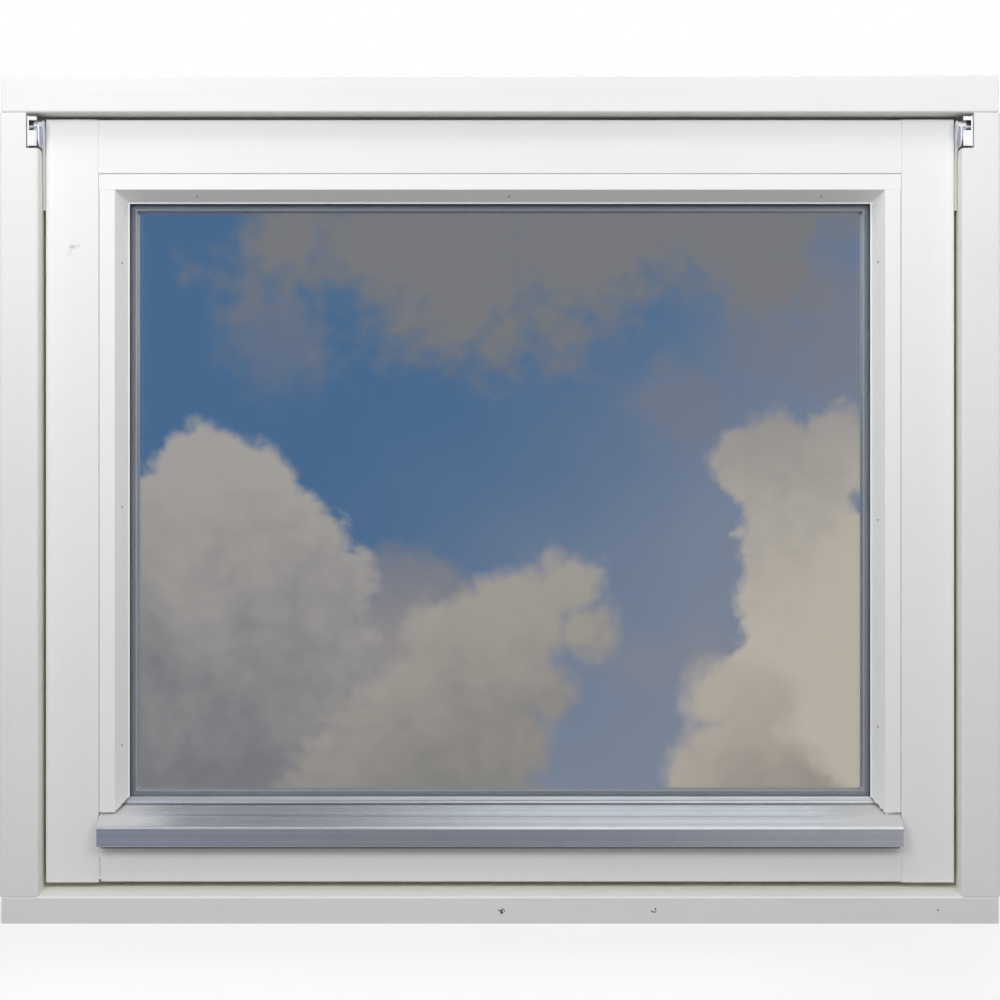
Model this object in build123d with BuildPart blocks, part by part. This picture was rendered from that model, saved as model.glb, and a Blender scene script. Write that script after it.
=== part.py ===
from build123d import *
from math import radians, tan
import os

# A top-hung timber window: a painted frame, an outward-opening sash hung at its
# two top corners, and a sealed double glazing unit held by nailed timber beads
# and a drained aluminium bead at the bottom.
#
# X runs along the width, Y from the weather side to the room side, Z upwards.
# The origin is the centre of the sill's underside. All sizes are millimetres.

# Outer frame
FRAME_WIDTH = 990.0  # over the two jambs
FRAME_HEIGHT = 840.0  # underside of the sill to the top of the head
FRAME_DEPTH = 105.0
JAMB_FACE = 38.0  # face of a jamb, and of the head, seen from outside
STOP_WIDTH = 14.0  # how far the stop stands past the rebate, into the opening
SILL_NOSE = 26.5  # height of the sill's front face
SILL_FALL = 14.0  # degrees that the sill's top falls outwards
END_INSET = 2.0  # head and sill end this far inside the jambs' outer faces
FRAME_ARRIS = 2.5  # rounding of the frame's outer edges
KERF_WIDTH = 3.0  # groove that holds the weather seal
KERF_DEPTH = 6.0
KERF_INSET = 7.0  # kerf's centre, from the stop's edge
LINING_GROOVE_WIDTH = 6.0  # groove for the room's lining boards
LINING_GROOVE_DEPTH = 8.0
LINING_GROOVE_INSET = 12.0  # groove's centre, from the frame's outside
DRIP_GROOVE = 4.0  # width and depth of a drip groove
DRIP_GROOVE_INSET = 9.0  # drip groove's centre, behind the front face

# Fixing holes through the jambs, into the wall
FIXING_RADIUS = 3.5
FIXING_SINK_RADIUS = 7.0
FIXING_SINK_DEPTH = 12.0
FIXING_DEPTH = 50.0  # hole's axis, behind the frame's front face
FIXING_SPACING = 440.0
FIXING_HEIGHT = 420.0  # middle of the pair

# Sash
SASH_DEPTH = 60.0
SASH_RECESS = 15.0  # sash's face behind the frame's face
SASH_GAP = 3.0  # at the head and the jambs
SILL_GAP = 6.8  # sash's bottom edge above the sill's slope
SEAL_GAP = 5.0  # sash's back to the stop
STILE_FACE = 53.0
RAIL_FACE = 54.0
BOTTOM_RAIL_FACE = 50.0
SASH_ARRIS = 1.5  # rounding of the sash's outer edges
JOINT_ARRIS = 1.1  # rounding where two pieces meet
ROOM_ARRIS = 5.0  # rounding of the sash's inner edge on the room side

# Glazing
BEAD_FACE = 16.0  # flat face of a timber bead
BEAD_BEVEL = 11.0  # width that its bevel covers, seen from the front
BEAD_DEPTH = 18.0
BEAD_TIP = 1.4  # width of the narrow flat along the bead's inner edge
BEAD_TIP_DEPTH = 1.8  # thickness of the bead at its inner edge
BEAD_FIT = 0.4  # open joint round a bead
GLASS_THICKNESS = 4.0
CAVITY = 16.0
TAPE_OUTER = 2.0
TAPE_INNER = 3.0
TAPE_INSET = 1.0  # tape's edge behind the sight line
EDGE_COVER = 10.0  # glass hidden behind the sight line
GLASS_CLEARANCE = 4.0  # glass edge to the rebate's floor
BOTTOM_SIGHT = 82.0  # sight line above the sash's bottom edge
EDGE_SEAL = 6.5  # sealant from the glass edge to the spacer bar
SPACER_HEIGHT = 9.0
SPACER_CORNER = 3.0
BUTYL = 0.4  # soft seal between the spacer bar's sides and the glass
BUTYL_COVER = 3.0  # how far the soft seal reaches up the bar's sides
BLOCK_LENGTH = 80.0
BLOCK_SHARE = 0.5  # a block's centre, as a share of half the glass width

# Aluminium drip bead at the bottom of the glass
DRIP_WALL = 1.8
DRIP_END_FIT = 1.0  # open joint at each end
DRIP_PROUD = 12.0  # front lip in front of the sash's face
DRIP_NOSE = 0.3  # tip above the sight line
DRIP_NOSE_FLAT = 3.4  # height of the nose's upper facet
DRIP_NOSE_DROP = 3.4  # height of the nose's upright facet
DRIP_NOSE_DEPTH = 2.4  # nose, from the glass side to its foot
DRIP_SLOT = 1.0  # height of the undercut below the nose
DRIP_SLOT_DEPTH = 1.4
DRIP_LIP = 19.0  # height of the front lip
DRIP_LIP_TOP = 57.0  # top of the lip above the sash's bottom edge
DRIP_KNEE_DEPTH = 1.0  # change of slope, in front of the sash's face
DRIP_KNEE_HEIGHT = 10.0  # change of slope, above the lip's top
DRIP_KNEE_ROUND = 16.0
DRIP_CORNER = 2.0  # rounding between the slope and the lip
DRIP_LIP_EDGE = 0.8  # rounding of the lip's lower edge
DRIP_LINE_DROP = 11.0  # fine groove along the lip, below its top
DRIP_LINE_WIDTH = 0.8
DRIP_LINE_DEPTH = 0.4
DRIP_WEB_INSET = 6.5  # web that stands on the rail, behind the sash's face
DRIP_FOOT = 7.0
LEDGE_FALL = 4.0  # fall of the ledge under the bead
BEAD_END_GAP = 1.0  # timber bead's end above the drip bead's nose
BEAD_END_FRONT = 12.0  # timber bead's end below the sight line, at the sash's face

# Weather seal
SEAL_WIDTH = 8.0
SEAL_SKIN = 1.2
SEAL_STEM_FIT = 0.1
SEAL_ROUND = 1.2

# Corner hinges
PIVOT_DROP = 9.0  # pivot below the sash's top edge
PIVOT_DEPTH = 9.0  # pivot behind the frame's front face
PIN_RADIUS = 2.5
PIN_FIT = 0.1
EYE_RADIUS = 6.5
EYE_LENGTH = 8.0
NOTCH_WIDTH = 12.0
NOTCH_DEPTH = 40.0
NOTCH_FIT = 2.5  # notch's floor below the bracket
BRACKET_SETBACK = 0.8  # bracket's flange behind the frame's face
BRACKET_SHEET = 2.5
BRACKET_FLANGE = 10.5
BRACKET_BEND = 2.5  # outer radius of the fold
BRACKET_WINDOW = 10.0  # height of the opening that shows the pin
BRACKET_BAR = 3.7  # bar above the opening
BRACKET_PAD = 15.3  # pad below the opening
LEAF_THICKNESS = 2.5
LEAF_WIDTH = 18.0
LEAF_LENGTH = 82.0  # pivot to the leaf's lower end
LEAF_SETBACK = 0.5  # leaf's edge behind the sash's face
ARM_LENGTH = 26.0  # length over which the arm swings back to the leaf
ARM_REACH = 4.2  # arm's outer side, from the sash's edge
ARM_STRAIGHT = 13.0  # pivot to where the arm starts to narrow
ARM_TAPER = 8.0  # height over which it narrows to the leaf

# Room-side handle
ROSE_LENGTH = 66.0
ROSE_HEIGHT = 28.0
ROSE_THICKNESS = 9.0
ROSE_EDGE = 2.5
NECK_RADIUS = 8.5
NECK_LENGTH = 24.0
LEVER_LENGTH = 118.0
LEVER_ROOT = 10.0  # half height at the neck
LEVER_TIP = 7.5  # half height at the free end
LEVER_THICKNESS = 10.0
LEVER_EDGE = 3.5

# Places worked out from the sizes
FRONT = -FRAME_DEPTH / 2
BACK = FRAME_DEPTH / 2
HALF_WIDTH = FRAME_WIDTH / 2
FALL = tan(radians(SILL_FALL))
SASH_FRONT = FRONT + SASH_RECESS
SASH_BACK = SASH_FRONT + SASH_DEPTH
STOP_FRONT = SASH_BACK + SEAL_GAP
SASH_HALF = HALF_WIDTH - JAMB_FACE - SASH_GAP
SASH_TOP = FRAME_HEIGHT - JAMB_FACE - SASH_GAP
SASH_BOTTOM = SILL_NOSE + SASH_RECESS * FALL + SILL_GAP
SASH_BOTTOM_BACK = SASH_BOTTOM + SASH_DEPTH * FALL
SILL_AT_STOP = SILL_NOSE + (STOP_FRONT - FRONT) * FALL
SILL_STOP_TOP = SASH_BOTTOM_BACK + STOP_WIDTH - SASH_GAP
HEAD_LENGTH = FRAME_WIDTH - 2 * END_INSET

BEAD_WIDTH = BEAD_FACE + BEAD_BEVEL
BEAD_BACK = SASH_FRONT + BEAD_DEPTH
GLASS_FRONT = BEAD_BACK + TAPE_OUTER
CAVITY_FRONT = GLASS_FRONT + GLASS_THICKNESS
CAVITY_BACK = CAVITY_FRONT + CAVITY
GLASS_BACK = CAVITY_BACK + GLASS_THICKNESS
UPSTAND_FRONT = GLASS_BACK + TAPE_INNER
SEAT_COVER = EDGE_COVER + GLASS_CLEARANCE
SIGHT_HALF = SASH_HALF - STILE_FACE - BEAD_WIDTH
SIGHT_TOP = SASH_TOP - RAIL_FACE - BEAD_WIDTH
SIGHT_BOTTOM = SASH_BOTTOM + BOTTOM_SIGHT
GLASS_WIDTH = 2 * (SIGHT_HALF + EDGE_COVER)
GLASS_HEIGHT = SIGHT_TOP - SIGHT_BOTTOM + 2 * EDGE_COVER
GLASS_MIDDLE = (SIGHT_TOP + SIGHT_BOTTOM) / 2
GLASS_FOOT = SIGHT_BOTTOM - EDGE_COVER
LIP_HALF = SASH_HALF - STILE_FACE  # half the width between the stiles
LEDGE_FRONT = SASH_BOTTOM + BOTTOM_RAIL_FACE
LEDGE_BACK = LEDGE_FRONT + LEDGE_FALL

PIVOT_Y = FRONT + PIVOT_DEPTH
PIVOT_Z = SASH_TOP - PIVOT_DROP
NOTCH_WALL = -HALF_WIDTH + JAMB_FACE - NOTCH_WIDTH
REBATE_WALL = -HALF_WIDTH + JAMB_FACE
BRACKET_TOP = PIVOT_Z + BRACKET_WINDOW / 2 + BRACKET_BAR
BRACKET_BOTTOM = PIVOT_Z - BRACKET_WINDOW / 2 - BRACKET_PAD
LEAF_FACE = -SASH_HALF - LEAF_THICKNESS
HANDLE_Z = (SILL_STOP_TOP + SIGHT_BOTTOM) / 2

os.makedirs("parts", exist_ok=True)


def ease(sketch, spots, radius):
    """Rounds the sketch's corners that lie at the given spots."""
    fillet([sketch.vertices().sort_by_distance(Vector(*spot))[0] for spot in spots], radius)


def save(piece, name):
    """Labels a finished piece and writes it under its own name."""
    piece.part.label = name
    export_step(piece.part, f"parts/{name}.step")


# Frame: sections of the head, the sill and a jamb, with sharp corners
HEAD_SECTION = [
    (FRONT, FRAME_HEIGHT),
    (FRONT, FRAME_HEIGHT - JAMB_FACE),
    (STOP_FRONT, FRAME_HEIGHT - JAMB_FACE),
    (STOP_FRONT, FRAME_HEIGHT - JAMB_FACE - STOP_WIDTH),
    (BACK, FRAME_HEIGHT - JAMB_FACE - STOP_WIDTH),
    (BACK, FRAME_HEIGHT),
]
SILL_SECTION = [
    (FRONT, 0),
    (FRONT, SILL_NOSE),
    (STOP_FRONT, SILL_AT_STOP),
    (STOP_FRONT, SILL_STOP_TOP),
    (BACK, SILL_STOP_TOP),
    (BACK, 0),
]
JAMB_SECTION = [
    (-HALF_WIDTH, FRONT),
    (REBATE_WALL, FRONT),
    (REBATE_WALL, STOP_FRONT),
    (REBATE_WALL + STOP_WIDTH, STOP_FRONT),
    (REBATE_WALL + STOP_WIDTH, BACK),
    (-HALF_WIDTH, BACK),
]
SEAL_Y = STOP_FRONT + KERF_DEPTH / 2
HEAD_SEAL_Z = FRAME_HEIGHT - JAMB_FACE - STOP_WIDTH + KERF_INSET
SILL_SEAL_Z = SILL_STOP_TOP - KERF_INSET
JAMB_SEAL_X = REBATE_WALL + STOP_WIDTH - KERF_INSET
LINING_GROOVE_Y = BACK - LINING_GROOVE_DEPTH / 2

with BuildPart() as frame_head:
    with BuildSketch(Plane.YZ) as section:
        Polygon(*HEAD_SECTION, align=None)
        ease(section, [HEAD_SECTION[i] for i in (0, 1, 4, 5)], FRAME_ARRIS)
        with Locations((SEAL_Y, HEAD_SEAL_Z)):
            Rectangle(KERF_DEPTH, KERF_WIDTH, mode=Mode.SUBTRACT)
        with Locations((LINING_GROOVE_Y, FRAME_HEIGHT - LINING_GROOVE_INSET)):
            Rectangle(LINING_GROOVE_DEPTH, LINING_GROOVE_WIDTH, mode=Mode.SUBTRACT)
    extrude(amount=HEAD_LENGTH / 2, both=True)
save(frame_head, "frame_head")

with BuildPart() as frame_sill:
    with BuildSketch(Plane.YZ) as section:
        Polygon(*SILL_SECTION, align=None)
        ease(section, [SILL_SECTION[i] for i in (1, 3, 4)], FRAME_ARRIS)
        with Locations((SEAL_Y, SILL_SEAL_Z)):
            Rectangle(KERF_DEPTH, KERF_WIDTH, mode=Mode.SUBTRACT)
        with Locations((LINING_GROOVE_Y, LINING_GROOVE_INSET)):
            Rectangle(LINING_GROOVE_DEPTH, LINING_GROOVE_WIDTH, mode=Mode.SUBTRACT)
        with Locations((FRONT + DRIP_GROOVE_INSET, DRIP_GROOVE / 2)):
            Rectangle(DRIP_GROOVE, DRIP_GROOVE, mode=Mode.SUBTRACT)
    extrude(amount=HEAD_LENGTH / 2, both=True)
save(frame_sill, "frame_sill")

with BuildPart() as frame_jamb_left:
    with BuildSketch(Plane.XY) as section:
        Polygon(*JAMB_SECTION, align=None)
        ease(section, [JAMB_SECTION[i] for i in (0, 1, 4, 5)], FRAME_ARRIS)
        with Locations((JAMB_SEAL_X, SEAL_Y)):
            Rectangle(KERF_WIDTH, KERF_DEPTH, mode=Mode.SUBTRACT)
        with Locations((-HALF_WIDTH + LINING_GROOVE_INSET, LINING_GROOVE_Y)):
            Rectangle(LINING_GROOVE_WIDTH, LINING_GROOVE_DEPTH, mode=Mode.SUBTRACT)
    extrude(amount=FRAME_HEIGHT)
    # both ends are scribed over the profiles of the head and the sill
    with BuildSketch(Plane.YZ.offset(-HALF_WIDTH)):
        Polygon(*HEAD_SECTION, align=None)
        Polygon(*SILL_SECTION, align=None)
    extrude(amount=JAMB_FACE + STOP_WIDTH, mode=Mode.SUBTRACT)
    # a notch at the top takes the hinge bracket
    with Locations((NOTCH_WALL, FRONT, BRACKET_BOTTOM - NOTCH_FIT)):
        Box(
            NOTCH_WIDTH,
            NOTCH_DEPTH,
            FRAME_HEIGHT - BRACKET_BOTTOM,
            align=Align.MIN,
            mode=Mode.SUBTRACT,
        )
    # fixing holes, sunk on the rebate side
    fixing_middle = (REBATE_WALL, FRONT + FIXING_DEPTH, FIXING_HEIGHT)
    with Locations(Plane(fixing_middle, x_dir=(0, 1, 0), z_dir=(1, 0, 0))):
        with GridLocations(0, FIXING_SPACING, 1, 2):
            CounterBoreHole(FIXING_RADIUS, FIXING_SINK_RADIUS, FIXING_SINK_DEPTH)
save(frame_jamb_left, "frame_jamb_left")

with BuildPart() as frame_jamb_right:
    mirror(frame_jamb_left.part, about=Plane.YZ)
save(frame_jamb_right, "frame_jamb_right")


def rebated(face, start, turn):
    """Section of a stile or rail. turn puts a place inwards from the sash's edge and a depth together."""
    sight = face + BEAD_WIDTH
    return [
        turn(start, SASH_FRONT),
        turn(face, SASH_FRONT),
        turn(face, BEAD_BACK),
        turn(sight - SEAT_COVER, BEAD_BACK),
        turn(sight - SEAT_COVER, UPSTAND_FRONT),
        turn(sight, UPSTAND_FRONT),
        turn(sight, SASH_BACK),
        turn(start, SASH_BACK),
    ]


# Sash: two full-height stiles with the rails scribed between them
STILE_SECTION = rebated(STILE_FACE, 0, lambda inward, y: (-SASH_HALF + inward, y))
TOP_RAIL_SECTION = rebated(RAIL_FACE, 0, lambda inward, y: (y, SASH_TOP - inward))
BOTTOM_RAIL_SECTION = [
    (SASH_FRONT, SASH_BOTTOM),
    (SASH_FRONT, LEDGE_FRONT),
    (BEAD_BACK, LEDGE_BACK),
    (BEAD_BACK, SIGHT_BOTTOM - SEAT_COVER),
    (UPSTAND_FRONT, SIGHT_BOTTOM - SEAT_COVER),
    (UPSTAND_FRONT, SIGHT_BOTTOM),
    (SASH_BACK, SIGHT_BOTTOM),
    (SASH_BACK, SASH_BOTTOM_BACK),
]

with BuildPart() as sash_stile_left:
    with BuildSketch(Plane.XY) as section:
        Polygon(*STILE_SECTION, align=None)
        ease(section, [STILE_SECTION[0], STILE_SECTION[7]], SASH_ARRIS)
        ease(section, [STILE_SECTION[1]], JOINT_ARRIS)
        ease(section, [STILE_SECTION[6]], ROOM_ARRIS)
    extrude(amount=SASH_TOP)
    # the foot is cut to the sill's fall
    with BuildSketch(Plane.YZ.offset(-SASH_HALF)):
        Polygon(
            (FRONT, 0),
            (FRONT, SASH_BOTTOM - SASH_RECESS * FALL),
            (BACK, SASH_BOTTOM + (BACK - SASH_FRONT) * FALL),
            (BACK, 0),
            align=None,
        )
    extrude(amount=STILE_FACE + BEAD_WIDTH, mode=Mode.SUBTRACT)
save(sash_stile_left, "sash_stile_left")

with BuildPart() as sash_stile_right:
    mirror(sash_stile_left.part, about=Plane.YZ)
save(sash_stile_right, "sash_stile_right")

with BuildPart() as sash_top_rail:
    with BuildSketch(Plane.YZ) as section:
        Polygon(*TOP_RAIL_SECTION, align=None)
        ease(section, [TOP_RAIL_SECTION[0], TOP_RAIL_SECTION[7]], SASH_ARRIS)
        ease(section, [TOP_RAIL_SECTION[1]], JOINT_ARRIS)
        ease(section, [TOP_RAIL_SECTION[6]], ROOM_ARRIS)
    extrude(amount=SASH_HALF, both=True)
    with BuildSketch(Plane.XY):
        Polygon(*STILE_SECTION, align=None)
        mirror(about=Plane.YZ)
    extrude(amount=FRAME_HEIGHT, mode=Mode.SUBTRACT)
save(sash_top_rail, "sash_top_rail")

with BuildPart() as sash_bottom_rail:
    with BuildSketch(Plane.YZ) as section:
        Polygon(*BOTTOM_RAIL_SECTION, align=None)
        ease(section, [BOTTOM_RAIL_SECTION[0], BOTTOM_RAIL_SECTION[7]], SASH_ARRIS)
        ease(section, [BOTTOM_RAIL_SECTION[1]], JOINT_ARRIS)
        ease(section, [BOTTOM_RAIL_SECTION[6]], ROOM_ARRIS)
        with Locations((SASH_FRONT + DRIP_GROOVE_INSET, SASH_BOTTOM + DRIP_GROOVE_INSET * FALL)):
            Rectangle(DRIP_GROOVE, 2 * DRIP_GROOVE, mode=Mode.SUBTRACT)
    extrude(amount=SASH_HALF, both=True)
    with BuildSketch(Plane.XY):
        Polygon(*STILE_SECTION, align=None)
        mirror(about=Plane.YZ)
    extrude(amount=FRAME_HEIGHT, mode=Mode.SUBTRACT)
save(sash_bottom_rail, "sash_bottom_rail")


def bead(face, fit, turn):
    """Section of a timber glazing bead: flat face, bevel, narrow tip and flat back."""
    sight = face + BEAD_WIDTH
    return [
        turn(face + fit, SASH_FRONT),
        turn(face + BEAD_FACE, SASH_FRONT),
        turn(sight - BEAD_TIP, BEAD_BACK - BEAD_TIP_DEPTH - BEAD_TIP / 3),
        turn(sight, BEAD_BACK - BEAD_TIP_DEPTH),
        turn(sight, BEAD_BACK),
        turn(face + fit, BEAD_BACK),
    ]


# Timber glazing beads: the top one runs through, the side ones are scribed under it
TOP_BEAD_SECTION = bead(RAIL_FACE, BEAD_FIT, lambda inward, y: (y, SASH_TOP - inward))
SIDE_BEAD_SECTION = bead(STILE_FACE, BEAD_FIT, lambda inward, y: (-SASH_HALF + inward, y))
BEAD_END_SLOPE = (BEAD_END_FRONT + DRIP_NOSE + BEAD_END_GAP) / BEAD_DEPTH

with BuildPart() as glazing_bead_top:
    with BuildSketch(Plane.YZ) as section:
        Polygon(*TOP_BEAD_SECTION, align=None)
        ease(section, TOP_BEAD_SECTION[:2], JOINT_ARRIS)
    extrude(amount=LIP_HALF - BEAD_FIT, both=True)
save(glazing_bead_top, "glazing_bead_top")

with BuildPart() as glazing_bead_left:
    with BuildSketch(Plane.XY) as section:
        Polygon(*SIDE_BEAD_SECTION, align=None)
        ease(section, SIDE_BEAD_SECTION[:2], JOINT_ARRIS)
    extrude(amount=SASH_TOP - RAIL_FACE - BEAD_FIT)
    with BuildSketch(Plane.YZ.offset(-SASH_HALF)):
        Polygon(*TOP_BEAD_SECTION, align=None)
        Polygon(
            (FRONT, 0),
            (FRONT, SIGHT_BOTTOM - BEAD_END_FRONT - SASH_RECESS * BEAD_END_SLOPE),
            (BACK, SIGHT_BOTTOM - BEAD_END_FRONT + (BACK - SASH_FRONT) * BEAD_END_SLOPE),
            (BACK, 0),
            align=None,
        )
    extrude(amount=STILE_FACE + BEAD_WIDTH, mode=Mode.SUBTRACT)
save(glazing_bead_left, "glazing_bead_left")

with BuildPart() as glazing_bead_right:
    mirror(glazing_bead_left.part, about=Plane.YZ)
save(glazing_bead_right, "glazing_bead_right")

# Aluminium drip bead: one extruded section, from the nose at the glass to the front lip
DRIP_TOP = SIGHT_BOTTOM + DRIP_NOSE
DRIP_FRONT = SASH_FRONT - DRIP_PROUD
LIP_TOP = SASH_BOTTOM + DRIP_LIP_TOP
NOSE_FOOT = BEAD_BACK - DRIP_NOSE_DEPTH
SLOPE_TOP = DRIP_TOP - DRIP_NOSE_FLAT - DRIP_NOSE_DROP
KNEE = (SASH_FRONT - DRIP_KNEE_DEPTH, LIP_TOP + DRIP_KNEE_HEIGHT)
WEB_Y = SASH_FRONT + DRIP_WEB_INSET


def ledge_height(y):
    """Height of the bottom rail's sloping ledge at a depth."""
    return LEDGE_FRONT + LEDGE_FALL * (y - SASH_FRONT) / BEAD_DEPTH


def slope_height(y):
    """Height of the drip bead's upper slope at a depth behind its knee."""
    rise = SLOPE_TOP - KNEE[1]
    run = NOSE_FOOT - KNEE[0]
    return KNEE[1] + rise * (y - KNEE[0]) / run


with BuildPart() as drip_bead:
    with BuildSketch(Plane.YZ) as section:
        with BuildLine() as skin:
            Polyline(
                (NOSE_FOOT, SLOPE_TOP),
                KNEE,
                (DRIP_FRONT, LIP_TOP),
                (DRIP_FRONT, LIP_TOP - DRIP_LIP),
            )
            offset(amount=DRIP_WALL, side=Side.LEFT, kind=Kind.INTERSECTION)
        make_face()
        # nose and back leg, flat against the rail and the glass tape
        Polygon(
            (BEAD_BACK, DRIP_TOP),
            (NOSE_FOOT + DRIP_NOSE_DEPTH / 5, DRIP_TOP - DRIP_NOSE_FLAT),
            (NOSE_FOOT, SLOPE_TOP),
            (NOSE_FOOT, SLOPE_TOP - DRIP_WALL),
            (BEAD_BACK - DRIP_WALL, SLOPE_TOP - 2 * DRIP_WALL),
            (BEAD_BACK - DRIP_WALL, ledge_height(BEAD_BACK)),
            (BEAD_BACK, ledge_height(BEAD_BACK)),
            align=None,
        )
        # web and foot that stand on the rail's ledge
        Polygon(
            (WEB_Y + DRIP_WALL, slope_height(WEB_Y) - DRIP_WALL / 2),
            (WEB_Y, slope_height(WEB_Y) - DRIP_WALL),
            (WEB_Y, ledge_height(WEB_Y) + DRIP_WALL),
            (WEB_Y - DRIP_FOOT + DRIP_WALL, ledge_height(WEB_Y - DRIP_FOOT) + DRIP_WALL),
            (WEB_Y - DRIP_FOOT + DRIP_WALL, ledge_height(WEB_Y - DRIP_FOOT + DRIP_WALL)),
            (WEB_Y + DRIP_WALL, ledge_height(WEB_Y + DRIP_WALL)),
            align=None,
        )
        # undercut below the nose, which stops rain that runs back up the slope
        with Locations((NOSE_FOOT + DRIP_SLOT_DEPTH, SLOPE_TOP)):
            Rectangle(
                DRIP_NOSE_DEPTH, DRIP_SLOT, align=(Align.MAX, Align.MIN), mode=Mode.SUBTRACT
            )
        # fine drawn groove along the lip
        with Locations((DRIP_FRONT, LIP_TOP - DRIP_LINE_DROP)):
            Rectangle(2 * DRIP_LINE_DEPTH, DRIP_LINE_WIDTH, mode=Mode.SUBTRACT)
        fillet(section.vertices().sort_by_distance(Vector(*KNEE))[:2], DRIP_KNEE_ROUND)
        ease(section, [(DRIP_FRONT, LIP_TOP)], DRIP_CORNER)
        ease(section, [(DRIP_FRONT, LIP_TOP - DRIP_LIP)], DRIP_LIP_EDGE)
    extrude(amount=LIP_HALF - DRIP_END_FIT, both=True)
save(drip_bead, "drip_bead")

# Sealed glazing unit
for name, face_y in (("glass_outer_pane", GLASS_FRONT), ("glass_inner_pane", CAVITY_BACK)):
    with BuildPart() as pane:
        with Locations((0, face_y, GLASS_FOOT)):
            Box(
                GLASS_WIDTH,
                GLASS_THICKNESS,
                GLASS_HEIGHT,
                align=(Align.CENTER, Align.MIN, Align.MIN),
            )
    save(pane, name)

SPACER_WIDTH = GLASS_WIDTH - 2 * EDGE_SEAL
SPACER_TALL = GLASS_HEIGHT - 2 * EDGE_SEAL
CAVITY_PLANE = Plane((0, CAVITY_FRONT, GLASS_MIDDLE), x_dir=(1, 0, 0), z_dir=(0, -1, 0))
BAR_PLANE = CAVITY_PLANE.offset(-BUTYL)
BAR_DEPTH = CAVITY - 2 * BUTYL

with BuildPart() as spacer_bar:
    with BuildSketch(BAR_PLANE):
        Rectangle(SPACER_WIDTH, SPACER_TALL)
        RectangleRounded(
            SPACER_WIDTH - 2 * SPACER_HEIGHT,
            SPACER_TALL - 2 * SPACER_HEIGHT,
            SPACER_CORNER,
            mode=Mode.SUBTRACT,
        )
    extrude(amount=-BAR_DEPTH)
save(spacer_bar, "spacer_bar")

with BuildPart() as edge_seal:
    with BuildSketch(CAVITY_PLANE):
        Rectangle(GLASS_WIDTH, GLASS_HEIGHT)
        Rectangle(SPACER_WIDTH - 2 * BUTYL_COVER, SPACER_TALL - 2 * BUTYL_COVER, mode=Mode.SUBTRACT)
    extrude(amount=-CAVITY)
    with BuildSketch(BAR_PLANE):
        Rectangle(SPACER_WIDTH, SPACER_TALL)
    extrude(amount=-BAR_DEPTH, mode=Mode.SUBTRACT)
save(edge_seal, "edge_seal")


def tape_strips(y, thickness):
    """Four glazing strips that meet at the corners, as boxes: centre and size of each."""
    width = EDGE_COVER - TAPE_INSET
    half_width = SIGHT_HALF + TAPE_INSET + width / 2
    half_height = (SIGHT_TOP - SIGHT_BOTTOM) / 2 + TAPE_INSET + width / 2
    across = (2 * half_width + width, thickness, width)
    upright = (width, thickness, 2 * half_height - width)
    middle = y + thickness / 2
    return [
        ((0, middle, GLASS_MIDDLE + half_height), across),
        ((0, middle, GLASS_MIDDLE - half_height), across),
        ((half_width, middle, GLASS_MIDDLE), upright),
        ((-half_width, middle, GLASS_MIDDLE), upright),
    ]


SIDES = ("top", "bottom", "right", "left")
for layer, tape_y, tape_thickness in (
    ("outer", BEAD_BACK, TAPE_OUTER),
    ("inner", GLASS_BACK, TAPE_INNER),
):
    for side, (centre, size) in zip(SIDES, tape_strips(tape_y, tape_thickness)):
        with BuildPart() as strip:
            with Locations(centre):
                Box(*size)
        save(strip, f"glazing_tape_{layer}_{side}")

with BuildPart() as setting_blocks:
    with Locations((0, GLASS_FRONT, GLASS_FOOT - GLASS_CLEARANCE)):
        with GridLocations(BLOCK_SHARE * GLASS_WIDTH, 0, 2, 1):
            Box(
                BLOCK_LENGTH,
                GLASS_BACK - GLASS_FRONT,
                GLASS_CLEARANCE,
                align=(Align.CENTER, Align.MIN, Align.MIN),
            )
save(setting_blocks, "setting_blocks")

# Weather seal: a hollow strip on a stem, in the kerf of each frame member
SEAL_HALF = SEAL_WIDTH / 2
STEM_WIDTH = KERF_WIDTH - 2 * SEAL_STEM_FIT
STEM_LENGTH = KERF_DEPTH - SEAL_STEM_FIT

for name, seal_z in (("seal_head", HEAD_SEAL_Z), ("seal_sill", SILL_SEAL_Z)):
    with BuildPart() as seal:
        with BuildSketch(Plane.YZ):
            with Locations((STOP_FRONT - SEAL_GAP / 2, seal_z)):
                RectangleRounded(SEAL_GAP, SEAL_WIDTH, SEAL_ROUND)
                Rectangle(
                    SEAL_GAP - 2 * SEAL_SKIN, SEAL_WIDTH - 2 * SEAL_SKIN, mode=Mode.SUBTRACT
                )
            with Locations((STOP_FRONT + STEM_LENGTH / 2, seal_z)):
                Rectangle(STEM_LENGTH, STEM_WIDTH)
        extrude(amount=SASH_HALF, both=True)
    save(seal, name)

SIDE_SEAL_FOOT = SILL_SEAL_Z + SEAL_HALF
SIDE_SEAL_LENGTH = HEAD_SEAL_Z - SEAL_HALF - SIDE_SEAL_FOOT

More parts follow.
